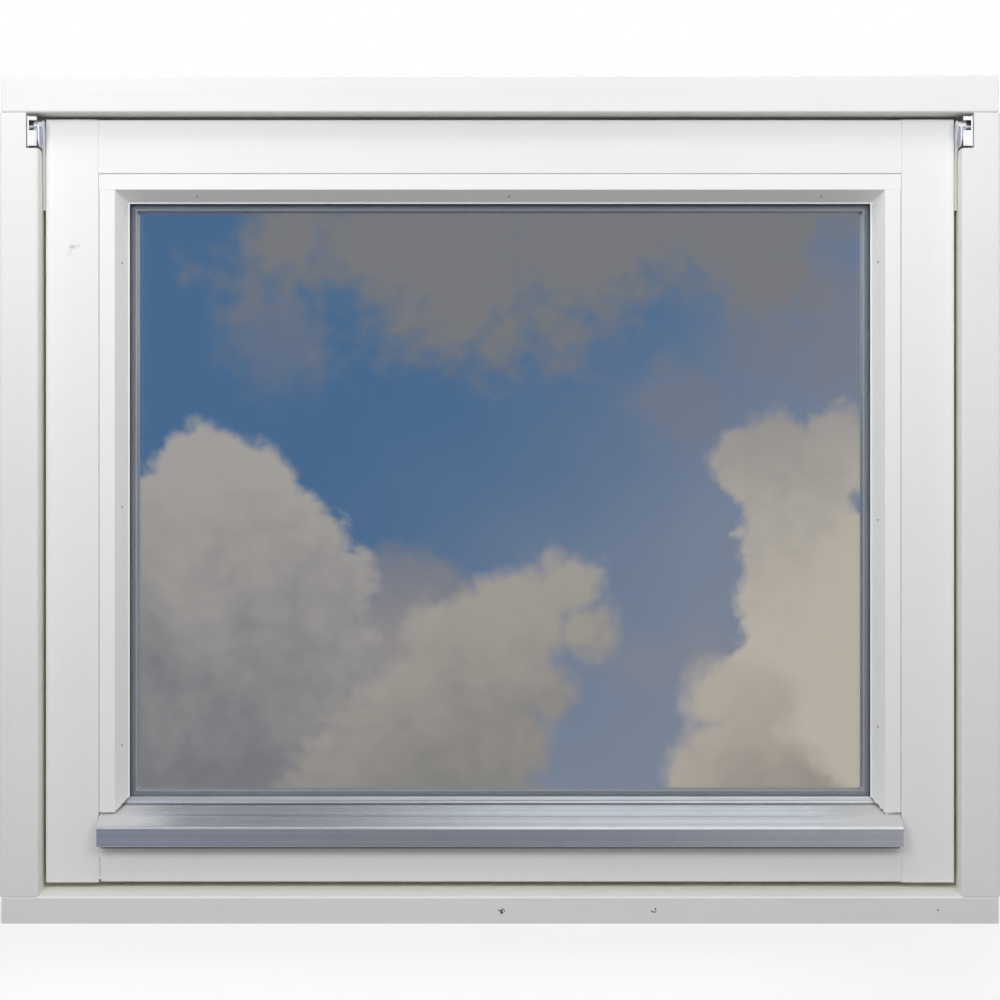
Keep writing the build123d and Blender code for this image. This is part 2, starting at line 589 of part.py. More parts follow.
with BuildPart() as seal_jamb_left:
    with BuildSketch(Plane.XY.offset(SIDE_SEAL_FOOT)):
        with Locations((JAMB_SEAL_X, STOP_FRONT - SEAL_GAP / 2)):
            RectangleRounded(SEAL_WIDTH, SEAL_GAP, SEAL_ROUND)
            Rectangle(SEAL_WIDTH - 2 * SEAL_SKIN, SEAL_GAP - 2 * SEAL_SKIN, mode=Mode.SUBTRACT)
        with Locations((JAMB_SEAL_X, STOP_FRONT + STEM_LENGTH / 2)):
            Rectangle(STEM_WIDTH, STEM_LENGTH)
    extrude(amount=SIDE_SEAL_LENGTH)
    # the stem ends where the jamb's own stop ends
    with BuildSketch(Plane.YZ.offset(-HALF_WIDTH)):
        Polygon(*HEAD_SECTION, align=None)
        Polygon(*SILL_SECTION, align=None)
    extrude(amount=JAMB_FACE + STOP_WIDTH, mode=Mode.SUBTRACT)
save(seal_jamb_left, "seal_jamb_left")

with BuildPart() as seal_jamb_right:
    mirror(seal_jamb_left.part, about=Plane.YZ)
save(seal_jamb_right, "seal_jamb_right")

# Corner hinge, left: a folded bracket in the jamb's notch, a pin and a cranked leaf
PLATE_WALL = NOTCH_WALL + BRACKET_SHEET
FLANGE_EDGE = NOTCH_WALL + BRACKET_FLANGE
FLANGE_FRONT = FRONT + BRACKET_SETBACK
FLANGE_BACK = FLANGE_FRONT + BRACKET_SHEET

with BuildPart() as hinge_bracket_left:
    with BuildSketch(Plane.XY.offset(BRACKET_BOTTOM)) as section:
        Polygon(
            (FLANGE_EDGE, FLANGE_FRONT),
            (NOTCH_WALL, FLANGE_FRONT),
            (NOTCH_WALL, FRONT + NOTCH_DEPTH),
            (PLATE_WALL, FRONT + NOTCH_DEPTH),
            (PLATE_WALL, FLANGE_BACK),
            (FLANGE_EDGE, FLANGE_BACK),
            align=None,
        )
        ease(section, [(NOTCH_WALL, FLANGE_FRONT)], BRACKET_BEND)
    extrude(amount=BRACKET_TOP - BRACKET_BOTTOM)
    with Locations((PLATE_WALL, FLANGE_FRONT, PIVOT_Z)):
        Box(
            BRACKET_FLANGE,
            BRACKET_SHEET,
            BRACKET_WINDOW,
            align=(Align.MIN, Align.MIN, Align.CENTER),
            mode=Mode.SUBTRACT,
        )
save(hinge_bracket_left, "hinge_bracket_left")

with BuildPart() as hinge_pin_left:
    with BuildSketch(Plane.YZ.offset(PLATE_WALL)):
        with Locations((PIVOT_Y, PIVOT_Z)):
            Circle(PIN_RADIUS)
    extrude(amount=-SASH_HALF - PIN_FIT - PLATE_WALL)
save(hinge_pin_left, "hinge_pin_left")

LEAF_FRONT = SASH_FRONT + LEAF_SETBACK
LEAF_MIDDLE = LEAF_FRONT + LEAF_WIDTH / 2

with BuildPart() as hinge_leaf_left:
    with BuildSketch(Plane.YZ.offset(LEAF_FACE)):
        with Locations((PIVOT_Y, PIVOT_Z)):
            Circle(EYE_RADIUS)
        with Locations((LEAF_MIDDLE, PIVOT_Z - ARM_LENGTH)):
            Rectangle(LEAF_WIDTH, EYE_RADIUS)
        make_hull()
        with Locations((LEAF_MIDDLE, PIVOT_Z - ARM_LENGTH)):
            Rectangle(LEAF_WIDTH, LEAF_LENGTH - ARM_LENGTH, align=(Align.CENTER, Align.MAX))
    extrude(amount=LEAF_THICKNESS)
    # eye round the pin, inside the notch
    with BuildSketch(Plane.YZ.offset(-SASH_HALF - EYE_LENGTH)):
        with Locations((PIVOT_Y, PIVOT_Z)):
            Circle(EYE_RADIUS)
    extrude(amount=EYE_LENGTH - LEAF_THICKNESS)
    # thick arm from the eye down, tapering into the leaf
    with BuildSketch(Plane.XZ.offset(-PIVOT_Y)):
        Polygon(
            (-SASH_HALF - ARM_REACH, PIVOT_Z),
            (-SASH_HALF - ARM_REACH, PIVOT_Z - ARM_STRAIGHT),
            (LEAF_FACE, PIVOT_Z - ARM_STRAIGHT - ARM_TAPER),
            (LEAF_FACE, PIVOT_Z),
            align=None,
        )
    extrude(amount=EYE_RADIUS, both=True)
    with Locations(Plane((-SASH_HALF, PIVOT_Y, PIVOT_Z), z_dir=(1, 0, 0))):
        Hole(PIN_RADIUS + PIN_FIT)
save(hinge_leaf_left, "hinge_leaf_left")

for left_piece, name in (
    (hinge_bracket_left, "hinge_bracket_right"),
    (hinge_pin_left, "hinge_pin_right"),
    (hinge_leaf_left, "hinge_leaf_right"),
):
    with BuildPart() as right_piece:
        mirror(left_piece.part, about=Plane.YZ)
    save(right_piece, name)

# Handle on the bottom rail, room side
with BuildPart() as handle_rose:
    with BuildSketch(Plane.XZ.offset(-SASH_BACK)):
        with Locations((0, HANDLE_Z)):
            SlotOverall(ROSE_LENGTH, ROSE_HEIGHT)
    extrude(amount=-ROSE_THICKNESS)
    fillet(handle_rose.faces().sort_by(Axis.Y)[-1].edges(), ROSE_EDGE)
save(handle_rose, "handle_rose")

NECK_BACK = SASH_BACK + ROSE_THICKNESS
LEVER_FRONT = NECK_BACK + NECK_LENGTH

with BuildPart() as handle_lever:
    with BuildSketch(Plane.XZ.offset(-LEVER_FRONT)):
        with Locations((0, HANDLE_Z)):
            Circle(LEVER_ROOT)
        with Locations((LEVER_LENGTH - LEVER_ROOT - LEVER_TIP, HANDLE_Z)):
            Circle(LEVER_TIP)
        make_hull()
    extrude(amount=-LEVER_THICKNESS)
    fillet(handle_lever.edges(), LEVER_EDGE)
    with BuildSketch(Plane.XZ.offset(-NECK_BACK)):
        with Locations((0, HANDLE_Z)):
            Circle(NECK_RADIUS)
    extrude(amount=-NECK_LENGTH - LEVER_THICKNESS / 2)
save(handle_lever, "handle_lever")
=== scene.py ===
import math

import bmesh
import bpy
import numpy as np
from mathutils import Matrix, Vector


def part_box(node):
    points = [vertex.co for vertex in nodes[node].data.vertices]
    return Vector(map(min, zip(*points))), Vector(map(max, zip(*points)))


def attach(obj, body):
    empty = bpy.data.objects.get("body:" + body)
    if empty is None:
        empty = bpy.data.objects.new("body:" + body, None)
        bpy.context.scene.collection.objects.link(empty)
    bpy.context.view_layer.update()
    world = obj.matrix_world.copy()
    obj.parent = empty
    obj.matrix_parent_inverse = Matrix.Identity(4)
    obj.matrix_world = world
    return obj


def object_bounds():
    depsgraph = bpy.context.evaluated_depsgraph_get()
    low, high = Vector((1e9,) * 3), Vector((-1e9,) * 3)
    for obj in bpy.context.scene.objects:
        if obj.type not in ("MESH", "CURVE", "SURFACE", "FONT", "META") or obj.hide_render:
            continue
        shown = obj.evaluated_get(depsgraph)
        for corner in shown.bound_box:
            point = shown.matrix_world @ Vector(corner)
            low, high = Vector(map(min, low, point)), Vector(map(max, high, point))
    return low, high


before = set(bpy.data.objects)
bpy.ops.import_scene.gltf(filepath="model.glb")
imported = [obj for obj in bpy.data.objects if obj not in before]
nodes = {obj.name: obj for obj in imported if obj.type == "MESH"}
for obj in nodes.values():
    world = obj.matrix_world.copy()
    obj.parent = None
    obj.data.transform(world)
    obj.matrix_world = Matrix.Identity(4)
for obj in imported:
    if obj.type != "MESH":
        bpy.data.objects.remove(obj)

# A white painted timber window, top-hung, closed, seen square on from the weather side.
# X runs along its width, Y from the weather side into the room, Z up from the sill's underside.
# Sizes are in metres. The frame's own nodes keep their shapes; this file finishes and details them.
cad_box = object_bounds()
front = cad_box[0][1]
scene = bpy.context.scene
scene.view_settings.view_transform = "Standard"


# The viewpoint: a camera on the window's centre line, square to it, 1.5 m in front of the frame.
# The lens is worked out from the width that the picture covers at the frame's front face.
VIEW_DISTANCE = 1.5
VIEW_WIDTH = 0.989  # what the picture covers, side to side, at the frame's front face
VIEW_HEIGHT = 0.419  # height of the picture's centre above the sill's underside
SENSOR = 36.0

camera = bpy.data.objects.new("camera", bpy.data.cameras.new("camera"))
camera.data.sensor_width = SENSOR
camera.data.lens = SENSOR * VIEW_DISTANCE / VIEW_WIDTH
camera.location = (0.0, front - VIEW_DISTANCE, VIEW_HEIGHT)
camera.rotation_euler = (math.radians(90), 0.0, 0.0)
scene.collection.objects.link(camera)
scene.camera = camera


# The floor: a broad pale sheet under the window, which keeps the window's soft shadow.
# Far out it turns into the plain white that the camera sees behind the window.
class Nodes:
    """Adds nodes to a tree and joins them, so that each material reads as a short list."""

    def __init__(self, tree):
        self.tree = tree

    def put(self, value, socket):
        """Joins a socket to another, or gives it a plain value."""
        if isinstance(value, bpy.types.NodeSocket):
            self.tree.links.new(value, socket)
        elif socket.type == "RGBA":
            socket.default_value = (*value, 1.0)
        else:
            socket.default_value = value

    def add(self, kind, inputs=None, **settings):
        """One node. Its inputs are named or numbered, and its settings are its own properties."""
        node = self.tree.nodes.new(kind)
        for name, value in settings.items():
            setattr(node, name, value)
        for name, value in (inputs or {}).items():
            self.put(value, node.inputs[name])
        return node

    def maths(self, operation, *values, clamp=False):
        """One number from one, two or three others."""
        inputs = dict(enumerate(values))
        return self.add("ShaderNodeMath", inputs, operation=operation, use_clamp=clamp).outputs[0]

    def vectors(self, operation, *values):
        """One vector from others, or the number that the operation gives."""
        node = self.add("ShaderNodeVectorMath", dict(enumerate(values)), operation=operation)
        return node.outputs["Value" if operation in ("LENGTH", "DISTANCE", "DOT_PRODUCT") else "Vector"]

    def blend(self, factor, a, b):
        """Colour a where the factor is 0, colour b where it is 1."""
        node = self.add("ShaderNodeMix", {0: factor}, data_type="RGBA")
        self.put(a, node.inputs[6])
        self.put(b, node.inputs[7])
        return node.outputs[2]

    def ramp(self, value, low, high, to_low=0.0, to_high=1.0):
        """Carries a value smoothly from one range to another and stops at the ends."""
        inputs = {
            "Value": value, "From Min": low, "From Max": high,
            "To Min": to_low, "To Max": to_high,
        }
        return self.add("ShaderNodeMapRange", inputs, interpolation_type="SMOOTHSTEP").outputs[0]

    def noise(self, vector, scale, detail=2.0, roughness=0.5, distortion=0.0):
        """A noise from 0 to 1 whose middle is a half."""
        inputs = {
            "Vector": vector, "Scale": scale, "Detail": detail,
            "Roughness": roughness, "Distortion": distortion,
        }
        return self.add("ShaderNodeTexNoise", inputs).outputs["Fac"]

    def add_noise(self, value, noise, amount):
        """A value pushed up and down by a noise whose middle is a half."""
        return self.maths("MULTIPLY_ADD", self.maths("SUBTRACT", noise, 0.5), amount, value)

    def place(self):
        """Where a point lies in the object's own coordinates, in metres."""
        return self.add("ShaderNodeTexCoord").outputs["Object"]

    def split(self, vector):
        """The three numbers of a vector."""
        return self.add("ShaderNodeSeparateXYZ", {0: vector}).outputs

    def surface(self, shader):
        """Makes a shader the material's surface."""
        self.add("ShaderNodeOutputMaterial", {"Surface": shader})


def blank(name):
    """A material with an empty tree, and the tree's node writer."""
    material = bpy.data.materials.new(name)
    material.use_nodes = True
    material.node_tree.nodes.clear()
    return material, Nodes(material.node_tree)


FLOOR_REACH = 12.0
FLOOR_COLOUR = (0.90, 0.90, 0.90)
FLOOR_BOUNCE = (0.30, 0.30, 0.30)  # a darker sheet for the light that it throws back up
FLOOR_FADE = (0.3, 2.2)  # distances over which the floor turns white
FLOOR_WHITE = 0.55  # share of plain white near the window

floor_mesh = bpy.data.meshes.new("floor")
corners = [(FLOOR_REACH * x, FLOOR_REACH * y, 0.0) for x, y in ((-1, -1), (1, -1), (1, 1), (-1, 1))]
floor_mesh.from_pydata(corners, [], [(0, 1, 2, 3)])
floor = bpy.data.objects.new("floor", floor_mesh)
scene.collection.objects.link(floor)
floor.visible_transmission = False
floor.visible_glossy = False

floor_paper, n = blank("floor_paper")
away = n.vectors("LENGTH", n.place())
seen = n.add("ShaderNodeLightPath").outputs["Is Camera Ray"]
sheet = n.add("ShaderNodeBsdfDiffuse", {"Color": n.blend(seen, FLOOR_BOUNCE, FLOOR_COLOUR)})
white = n.add("ShaderNodeEmission", {"Strength": 1.0})
fade = n.maths("MULTIPLY", n.ramp(away, *FLOOR_FADE, FLOOR_WHITE, 1.0), seen)
n.surface(n.add("ShaderNodeMixShader", {0: fade, 1: sheet.outputs[0], 2: white.outputs[0]}).outputs[0])
floor_mesh.materials.append(floor_paper)


# The surroundings: plain white behind the window, and a soft even light on its paint.
# Only glass and bare metal show the sky: broken cumulus under a high grey veil, the same on both
# sides of the window, so that a reflection and the view through the pane are one picture.
PIXEL = VIEW_WIDTH / VIEW_DISTANCE / 1000.0  # direction that one pixel of the picture spans
PICTURE_CENTRE = 500.0
LEAST_AHEAD = 0.05  # least forward part of a direction, which keeps the flat picture finite
SWELL_SCALE = 11.0
RIPPLE_SCALE = 70.0
HEAD_SCALE = 40.0  # of the rounded heads of cumulus
HEAD_WANDER = (0.012, 0.05)  # how far ripples and swells push the heads about
HEAD_RELIEF = 0.75  # what the heads, the ripples and an even part put into the billows
RIPPLE_RELIEF = 0.35
EVEN_RELIEF = 0.65

sky = bpy.data.worlds.new("studio_and_sky")
sky.use_nodes = True
sky.node_tree.nodes.clear()
scene.world = sky
n = Nodes(sky.node_tree)
across, ahead, height = n.split(n.add("ShaderNodeTexCoord").outputs["Generated"])
ahead = n.maths("MAXIMUM", n.maths("ABSOLUTE", ahead), LEAST_AHEAD)
flat = n.add("ShaderNodeCombineXYZ", {
    "X": n.maths("DIVIDE", across, ahead), "Y": n.maths("DIVIDE", height, ahead),
}).outputs[0]
swells = n.noise(flat, SWELL_SCALE, detail=3.0, roughness=0.5, distortion=0.4)
ripples = n.noise(flat, RIPPLE_SCALE, detail=4.0, roughness=0.5)
wander = n.add("ShaderNodeCombineXYZ", {
    "X": n.maths("MULTIPLY", ripples, HEAD_WANDER[0]), "Y": n.maths("MULTIPLY", swells, HEAD_WANDER[1]),
}).outputs[0]
# rounded heads of cumulus: high at the middle of each cell, low where two cells meet
heads = n.add("ShaderNodeTexVoronoi", {
    "Vector": n.vectors("ADD", flat, wander), "Scale": HEAD_SCALE, "Detail": 2.0, "Roughness": 0.55,
}, voronoi_dimensions="2D", normalize=True).outputs["Distance"]
billows = n.maths("MULTIPLY_ADD", ripples, RIPPLE_RELIEF, EVEN_RELIEF)
billows = n.maths("MULTIPLY_ADD", heads, -HEAD_RELIEF, billows)

FAR_OUTSIDE = -2.0
MELT = 12.0  # pixels over which two masses melt together


def direction(pixel):
    """The direction that a pixel of the picture looks in."""
    right, down = pixel
    return ((right - PICTURE_CENTRE) * PIXEL, (PICTURE_CENTRE - down) * PIXEL, 0.0)


def depth_in(masses):
    """How far inside the nearest of several round masses a direction lies. Each mass has its pixel
    and its radius, and neighbours melt into each other."""
    deepest = FAR_OUTSIDE
    for right, down, radius in masses:
        gap = n.vectors("DISTANCE", flat, direction((right, down)))
        depth = n.maths("SUBTRACT", radius * PIXEL, gap)
        deepest = n.maths("SMOOTH_MAX", depth, deepest, MELT * PIXEL)
    return deepest


def shading(low, high, noise, amount):
    """0 at one pixel and 1 at another, along the line that joins them, with a noise laid over it."""
    start = Vector(direction(low))
    way = Vector(direction(high)) - start
    along = n.vectors("DOT_PRODUCT", n.vectors("SUBTRACT", flat, start), way / way.length_squared)
    return n.add_noise(along, noise, amount)


def cloud(under, masses, edge, rough, low, high, shade, light):
    """Lays a cloud over the sky. Its edge and its roughness are in pixels, and it lightens from the
    pixel low to the pixel high."""
    outline = n.add_noise(depth_in(masses), billows, rough * PIXEL)
    outline = n.add_noise(outline, swells, 0.5 * rough * PIXEL)
    lit = n.add_noise(shading(low, high, billows, 0.65), swells, 0.9)
    colour = n.blend(n.ramp(lit, -0.15, 1.15), shade, light)
    return n.blend(n.ramp(outline, -0.3 * edge * PIXEL, edge * PIXEL), under, colour)


def veil(under, masses, spread, thickness, colour):
    """Lays a thin grey sheet over the sky, whose edge fades out over a spread of pixels."""
    depth = n.add_noise(depth_in(masses), swells, 4.0 * spread * PIXEL)
    depth = n.add_noise(depth, ripples, 2.0 * spread * PIXEL)
    return n.blend(n.ramp(depth, -spread * PIXEL, spread * PIXEL, 0.0, thickness), under, colour)


# The sky, from back to front. A mass is its centre's pixel, across and down, and its radius in pixels.
# First comes the open sky, deep blue at the top left and pale at the lower right.
open_sky = n.blend(
    n.ramp(shading((150, 250), (660, 720), swells, 0.2), 0.38, 1.05),
    (0.066, 0.142, 0.272), (0.197, 0.230, 0.304),
)
# a high grey veil across the top, a thinner one on the right, and a wisp under that
picture = veil(
    open_sky,
    (
        (300, 235, 60), (350, 250, 60), (430, 225, 118), (455, 310, 56), (490, 340, 26),
        (600, 215, 118), (560, 320, 34), (735, 215, 80), (760, 280, 36), (860, 205, 36),
    ),
    spread=46.0, thickness=0.97, colour=(0.196, 0.193, 0.200),
)
picture = veil(
    picture,
    ((280, 330, 46), (690, 400, 46), (760, 350, 48), (840, 350, 54), (850, 300, 34)),
    spread=30.0, thickness=0.48, colour=(0.190, 0.190, 0.218),
)
picture = veil(
    picture, ((640, 665, 30), (700, 655, 26)),
    spread=24.0, thickness=0.35, colour=(0.250, 0.235, 0.262),
)
# the far bank of cumulus, grey-blue with a pale foot, and four nearer ones
picture = cloud(
    picture,
    ((398, 598, 54), (438, 610, 48), (470, 638, 56), (380, 680, 120)),
    edge=20.0, rough=40.0, low=(432, 565), high=(425, 660),
    shade=(0.178, 0.196, 0.246), light=(0.285, 0.264, 0.266),
)
picture = cloud(
    picture,
    (
        (207, 478, 54), (168, 515, 46), (250, 494, 48), (298, 546, 50), (330, 584, 46), (240, 560, 70),
        (190, 600, 110), (160, 740, 150), (300, 690, 92), (300, 630, 60), (260, 790, 120),
    ),
    edge=14.0, rough=44.0, low=(150, 790), high=(250, 455),
    shade=(0.172, 0.170, 0.194), light=(0.366, 0.344, 0.328),
)
picture = cloud(
    picture,
    (
        (568, 588, 36), (590, 630, 30), (535, 606, 38), (500, 640, 66), (545, 690, 34), (440, 690, 56),
        (400, 760, 82), (330, 796, 54), (475, 735, 76), (480, 830, 76), (440, 640, 40),
    ),
    edge=22.0, rough=44.0, low=(545, 800), high=(470, 590),
    shade=(0.222, 0.214, 0.206), light=(0.352, 0.322, 0.296),
)
picture = cloud(
    picture,
    (
        (748, 462, 34), (778, 450, 42), (842, 450, 44), (800, 484, 58), (796, 546, 56),
        (796, 604, 54), (830, 600, 90), (850, 720, 120), (960, 650, 130), (790, 680, 60),
    ),
    edge=12.0, rough=44.0, low=(735, 440), high=(850, 600),
    shade=(0.305, 0.288, 0.282), light=(0.486, 0.438, 0.376),
)
picture = cloud(
    picture,
    ((722, 698, 40), (756, 700, 42), (702, 758, 36), (740, 750, 46), (780, 800, 60), (710, 800, 50)),
    edge=24.0, rough=44.0, low=(790, 800), high=(720, 690),
    shade=(0.300, 0.270, 0.240), light=(0.430, 0.388, 0.345),
)

# What bare metal sees beyond the picture: a dull hall in front, a ceiling whose right half and left
# end are lit, and white walls, which only the window's outer corners see. Each range is a fade.
WALLS = (1.80, 1.81, 1.83)
WALLS_ASIDE = (0.245, 0.275)
WALLS_UP = (0.02, 0.12)
HALL = (0.23, 0.25, 0.31)
HALL_ENDS = (0.42, 0.44, 0.53)
HALL_SHIFT = 0.02  # the hall's dark middle lies this far to the left
HALL_ASIDE = (0.08, 0.26)
HALL_DOWN = (-0.205, -0.26)
CEILING_DARK = (0.17, 0.18, 0.21)
CEILING_LIT = (0.74, 0.77, 0.82)
CEILING_RIGHT = (-0.14, 0.02)
CEILING_LEFT = (-0.19, -0.27, 0.0, 0.6)
CEILING_UP = (0.30, 0.55)
aside = n.maths("ABSOLUTE", n.maths("ADD", across, HALL_SHIFT))
hall = n.blend(n.ramp(aside, *HALL_ASIDE), HALL, HALL_ENDS)
ceiling = n.maths("MAXIMUM", n.ramp(across, *CEILING_RIGHT), n.ramp(across, *CEILING_LEFT))
ceiling = n.blend(ceiling, CEILING_DARK, CEILING_LIT)
walls = n.ramp(n.maths("ABSOLUTE", across), *WALLS_ASIDE)
walls = n.maths("MULTIPLY", walls, n.ramp(height, *WALLS_UP))
picture = n.blend(walls, picture, WALLS)
picture = n.blend(n.ramp(height, *HALL_DOWN), picture, hall)
picture = n.blend(n.ramp(height, *CEILING_UP), picture, ceiling)

AMBIENT = 0.55  # even light from above
AMBIENT_BELOW = 0.10  # and from below
AMBIENT_FADE = (-0.3, 0.4)
soft = n.ramp(height, *AMBIENT_FADE, AMBIENT_BELOW, AMBIENT)
path = n.add("ShaderNodeLightPath")
mirror = n.maths("MAXIMUM", path.outputs["Is Glossy Ray"], path.outputs["Is Transmission Ray"])
even_light = n.add("ShaderNodeBackground", {"Strength": soft})
sky_light = n.add("ShaderNodeBackground", {"Color": picture})
plain_white = n.add("ShaderNodeBackground", {"Color": (1.0, 1.0, 1.0)})
around = n.add("ShaderNodeMixShader", {0: mirror, 1: even_light.outputs[0], 2: sky_light.outputs[0]})
around = n.add("ShaderNodeMixShader", {
    0: path.outputs["Is Camera Ray"], 1: around.outputs[0], 2: plain_white.outputs[0],
})
n.add("ShaderNodeOutputWorld", {"Surface": around.outputs[0]})


# The lamps: a wide one above the head, one on each side above the camera, a narrow one that draws
# highlights on metal, and one for the room side. The light falls off from the head to the sill.
def soft_box(name, place, target, size, watts, colour, mirrored):
    """A rectangular lamp aimed at a target. The camera never sees it, and bare metal does if mirrored."""
    lamp = bpy.data.objects.new(name, bpy.data.lights.new(name, "AREA"))
    lamp.data.shape = "RECTANGLE"
    lamp.data.size, lamp.data.size_y = size
    lamp.data.energy = watts
    lamp.data.color = colour
    lamp.location = place
    lamp.rotation_euler = (Vector(target) - Vector(place)).to_track_quat("-Z", "Y").to_euler()
    lamp.visible_camera = False
    lamp.visible_transmission = False
    lamp.visible_glossy = mirrored
    scene.collection.objects.link(lamp)


KEY_COLOUR = (1.0, 0.998, 0.99)
FILL_COLOUR = (0.97, 0.985, 1.0)
soft_box(
    "head_lamp", (-0.1, -0.6, 1.8), target=(0.0, 0.0, 0.4),
    size=(1.4, 0.4), watts=5.6, colour=KEY_COLOUR, mirrored=False,
)
soft_box(
    "left_lamp", (-0.7, -1.1, 1.05), target=(-0.2, 0.0, 0.6),
    size=(0.6, 0.5), watts=6.7, colour=KEY_COLOUR, mirrored=False,
)
soft_box(
    "right_lamp", (0.7, -1.1, 1.05), target=(0.2, 0.0, 0.6),
    size=(0.6, 0.5), watts=5.6, colour=FILL_COLOUR, mirrored=False,
)
soft_box(
    "gloss_lamp", (-0.45, -1.0, 2.05), target=(0.0, 0.0, 0.5),
    size=(1.3, 0.25), watts=1.5, colour=KEY_COLOUR, mirrored=True,
)
soft_box(
    "room_lamp", (0.9, 2.2, 1.7), target=(0.0, 0.0, 0.4),
    size=(1.8, 1.2), watts=26.0, colour=KEY_COLOUR, mirrored=False,
)


# Paint on timber: two brushed coats of opaque white, with the grain just telling through.
# Long brush marks run with each member, over a fine skin. One group serves every member.
def group(name, inputs, outputs):
    """An empty shader group with named sockets: its tree, its input node and its output node."""
    tree = bpy.data.node_groups.new(name, "ShaderNodeTree")
    for label, kind, value in inputs:
        socket = tree.interface.new_socket(label, in_out="INPUT", socket_type=kind)
        if value is not None:
            socket.default_value = value
    for label, kind in outputs:
        tree.interface.new_socket(label, in_out="OUTPUT", socket_type=kind)
    return tree, tree.nodes.new("NodeGroupInput").outputs, tree.nodes.new("NodeGroupOutput").inputs


FINISH_OUTPUTS = (
    ("Colour", "NodeSocketColor"), ("Roughness", "NodeSocketFloat"), ("Normal", "NodeSocketVector"),
)
brushed_coat, given, result = group(
    "brushed_coat",
    (
        ("Along", "NodeSocketVector", None),
        ("Place", "NodeSocketVector", None),
        ("Colour", "NodeSocketColor", (0.86, 0.86, 0.85, 1.0)),
        ("Shade", "NodeSocketColor", (0.80, 0.80, 0.79, 1.0)),
        ("Roughness", "NodeSocketFloat", 0.38),
        ("Marks", "NodeSocketFloat", 1.0),
    ),
    FINISH_OUTPUTS,
)
GRAIN_SCALE = 0.32  # the grain is drawn out with the brush marks, and this much coarser
SKIN_SCALE = 900.0  # of the paint's fine skin
PATCH_SCALE = 9.0
GRAIN_TONE = 0.30  # how much grain and patches darken the white
PATCH_TONE = 0.35
n = Nodes(brushed_coat)
strokes = n.noise(given["Along"], 1.0, detail=4.0, roughness=0.6, distortion=0.2)
grain = n.noise(given["Along"], GRAIN_SCALE, detail=3.0, roughness=0.55, distortion=0.6)
skin = n.noise(given["Place"], SKIN_SCALE, detail=2.0)
patch = n.noise(given["Place"], PATCH_SCALE, detail=4.0, roughness=0.55)
grain_tone = n.ramp(grain, 0.52, 0.72)
patch_tone = n.ramp(patch, 0.45, 0.75, 0.0, PATCH_TONE)
tone = n.maths("MULTIPLY_ADD", grain_tone, GRAIN_TONE, patch_tone)
tone = n.maths("MULTIPLY", tone, given["Marks"], clamp=True)
n.put(n.blend(tone, given["Colour"], given["Shade"]), result["Colour"])
rough = n.add_noise(given["Roughness"], strokes, 0.20)
n.put(n.maths("MULTIPLY_ADD", patch, 0.06, rough, clamp=True), result["Roughness"])
relief = n.maths("MULTIPLY_ADD", grain, 0.9, n.maths("MULTIPLY", strokes, given["Marks"]))
relief = n.maths("MULTIPLY_ADD", skin, 0.16, relief)
bump = n.add("ShaderNodeBump", {"Height": relief, "Strength": 0.35, "Distance": 0.00022})
n.put(bump.outputs[0], result["Normal"])

STROKE_LENGTH = 0.14  # of a brush mark
STROKE_WIDTH = 0.0022


def stretched(n, long_way, length, width, shift=0.0):
    """Object coordinates drawn out along one axis, so that a noise on them makes marks of that size."""
    scale = [1.0 / width] * 3
    scale["XYZ".index(long_way)] = 1.0 / length
    inputs = {"Vector": n.place(), "Location": (shift,) * 3, "Scale": scale}
    return n.add("ShaderNodeMapping", inputs).outputs[0]


def painted(name, long_way, colour, shade, roughness, marks, shift):
    """White paint brushed along X or Z. The shift gives each member its own pattern."""
    material, n = blank(name)
    coat = n.add("ShaderNodeGroup", node_tree=brushed_coat)
    for label, value in (
        ("Along", stretched(n, long_way, STROKE_LENGTH, STROKE_WIDTH, shift)), ("Place", n.place()),
        ("Colour", colour), ("Shade", shade), ("Roughness", roughness), ("Marks", marks),
    ):
        n.put(value, coat.inputs[label])
    shader = n.add("ShaderNodeBsdfPrincipled", {
        "Base Color": coat.outputs["Colour"],
        "Roughness": coat.outputs["Roughness"],
        "Normal": coat.outputs["Normal"],
    })
    n.surface(shader.outputs[0])
    return material, n, coat.outputs["Colour"], shader


def finish(node, material):
    """Gives a node of the frame one material all over."""
    mesh = nodes[node].data
    mesh.materials.clear()
    mesh.materials.append(material)


# The outer frame: planed pine, the head and sill running through and the jambs scribed between.
# The faces that show are white, and the sawn ends show their rings. The gap has cream primer alone,
# which on the head and jambs is paler than the white, as painted light for what bounces into the gap.
# Knocks have chipped the front of the sill. Painted shade darkens the sill's slope and front arris, and
# a painted shadow lies on the slope under the sash.
FRAME_WHITE = (0.835, 0.835, 0.835)
FRAME_SHADE = (0.79, 0.79, 0.785)
# cream primer in the gap, paler than the white paint: partly the primer's own colour, partly painted
# light for what bounces into the gap
PRIMER_AND_BOUNCE = (0.88, 0.86, 0.785)
SILL_PRIMER = (0.80, 0.78, 0.67)
SILL_PAINTED_SHADE = (0.72, 0.72, 0.71)  # painted shade on the sill's slope and front arris, which the light from above strikes most
SILL_PAINTED_SHADOW = (0.25, 0.26, 0.18)  # painted shadow on the slope under the sash
END_LIGHT = (0.74, 0.70, 0.60)
END_DARK = (0.55, 0.50, 0.40)
SILL_SHADE_FROM = (0.0003, 0.0015)  # these three are fades, over depths behind the front face
SILL_SHADOW_FROM = (0.0115, 0.0190)
SILL_SHADOW_TO = (0.0275, 0.0235)
SILL_SHADOW_COVER = 0.5
PRIMER_FADE = 0.007
PRIMER_TO = (0.030, 0.045)  # distances in front of the handle's back
handle_back = cad_box[1][1]
sawn_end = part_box("frame_head")[1][0]
STROKE_RAGGED = 1.6  # how much a fine noise pushes a mark's edge about, as a share of its reach


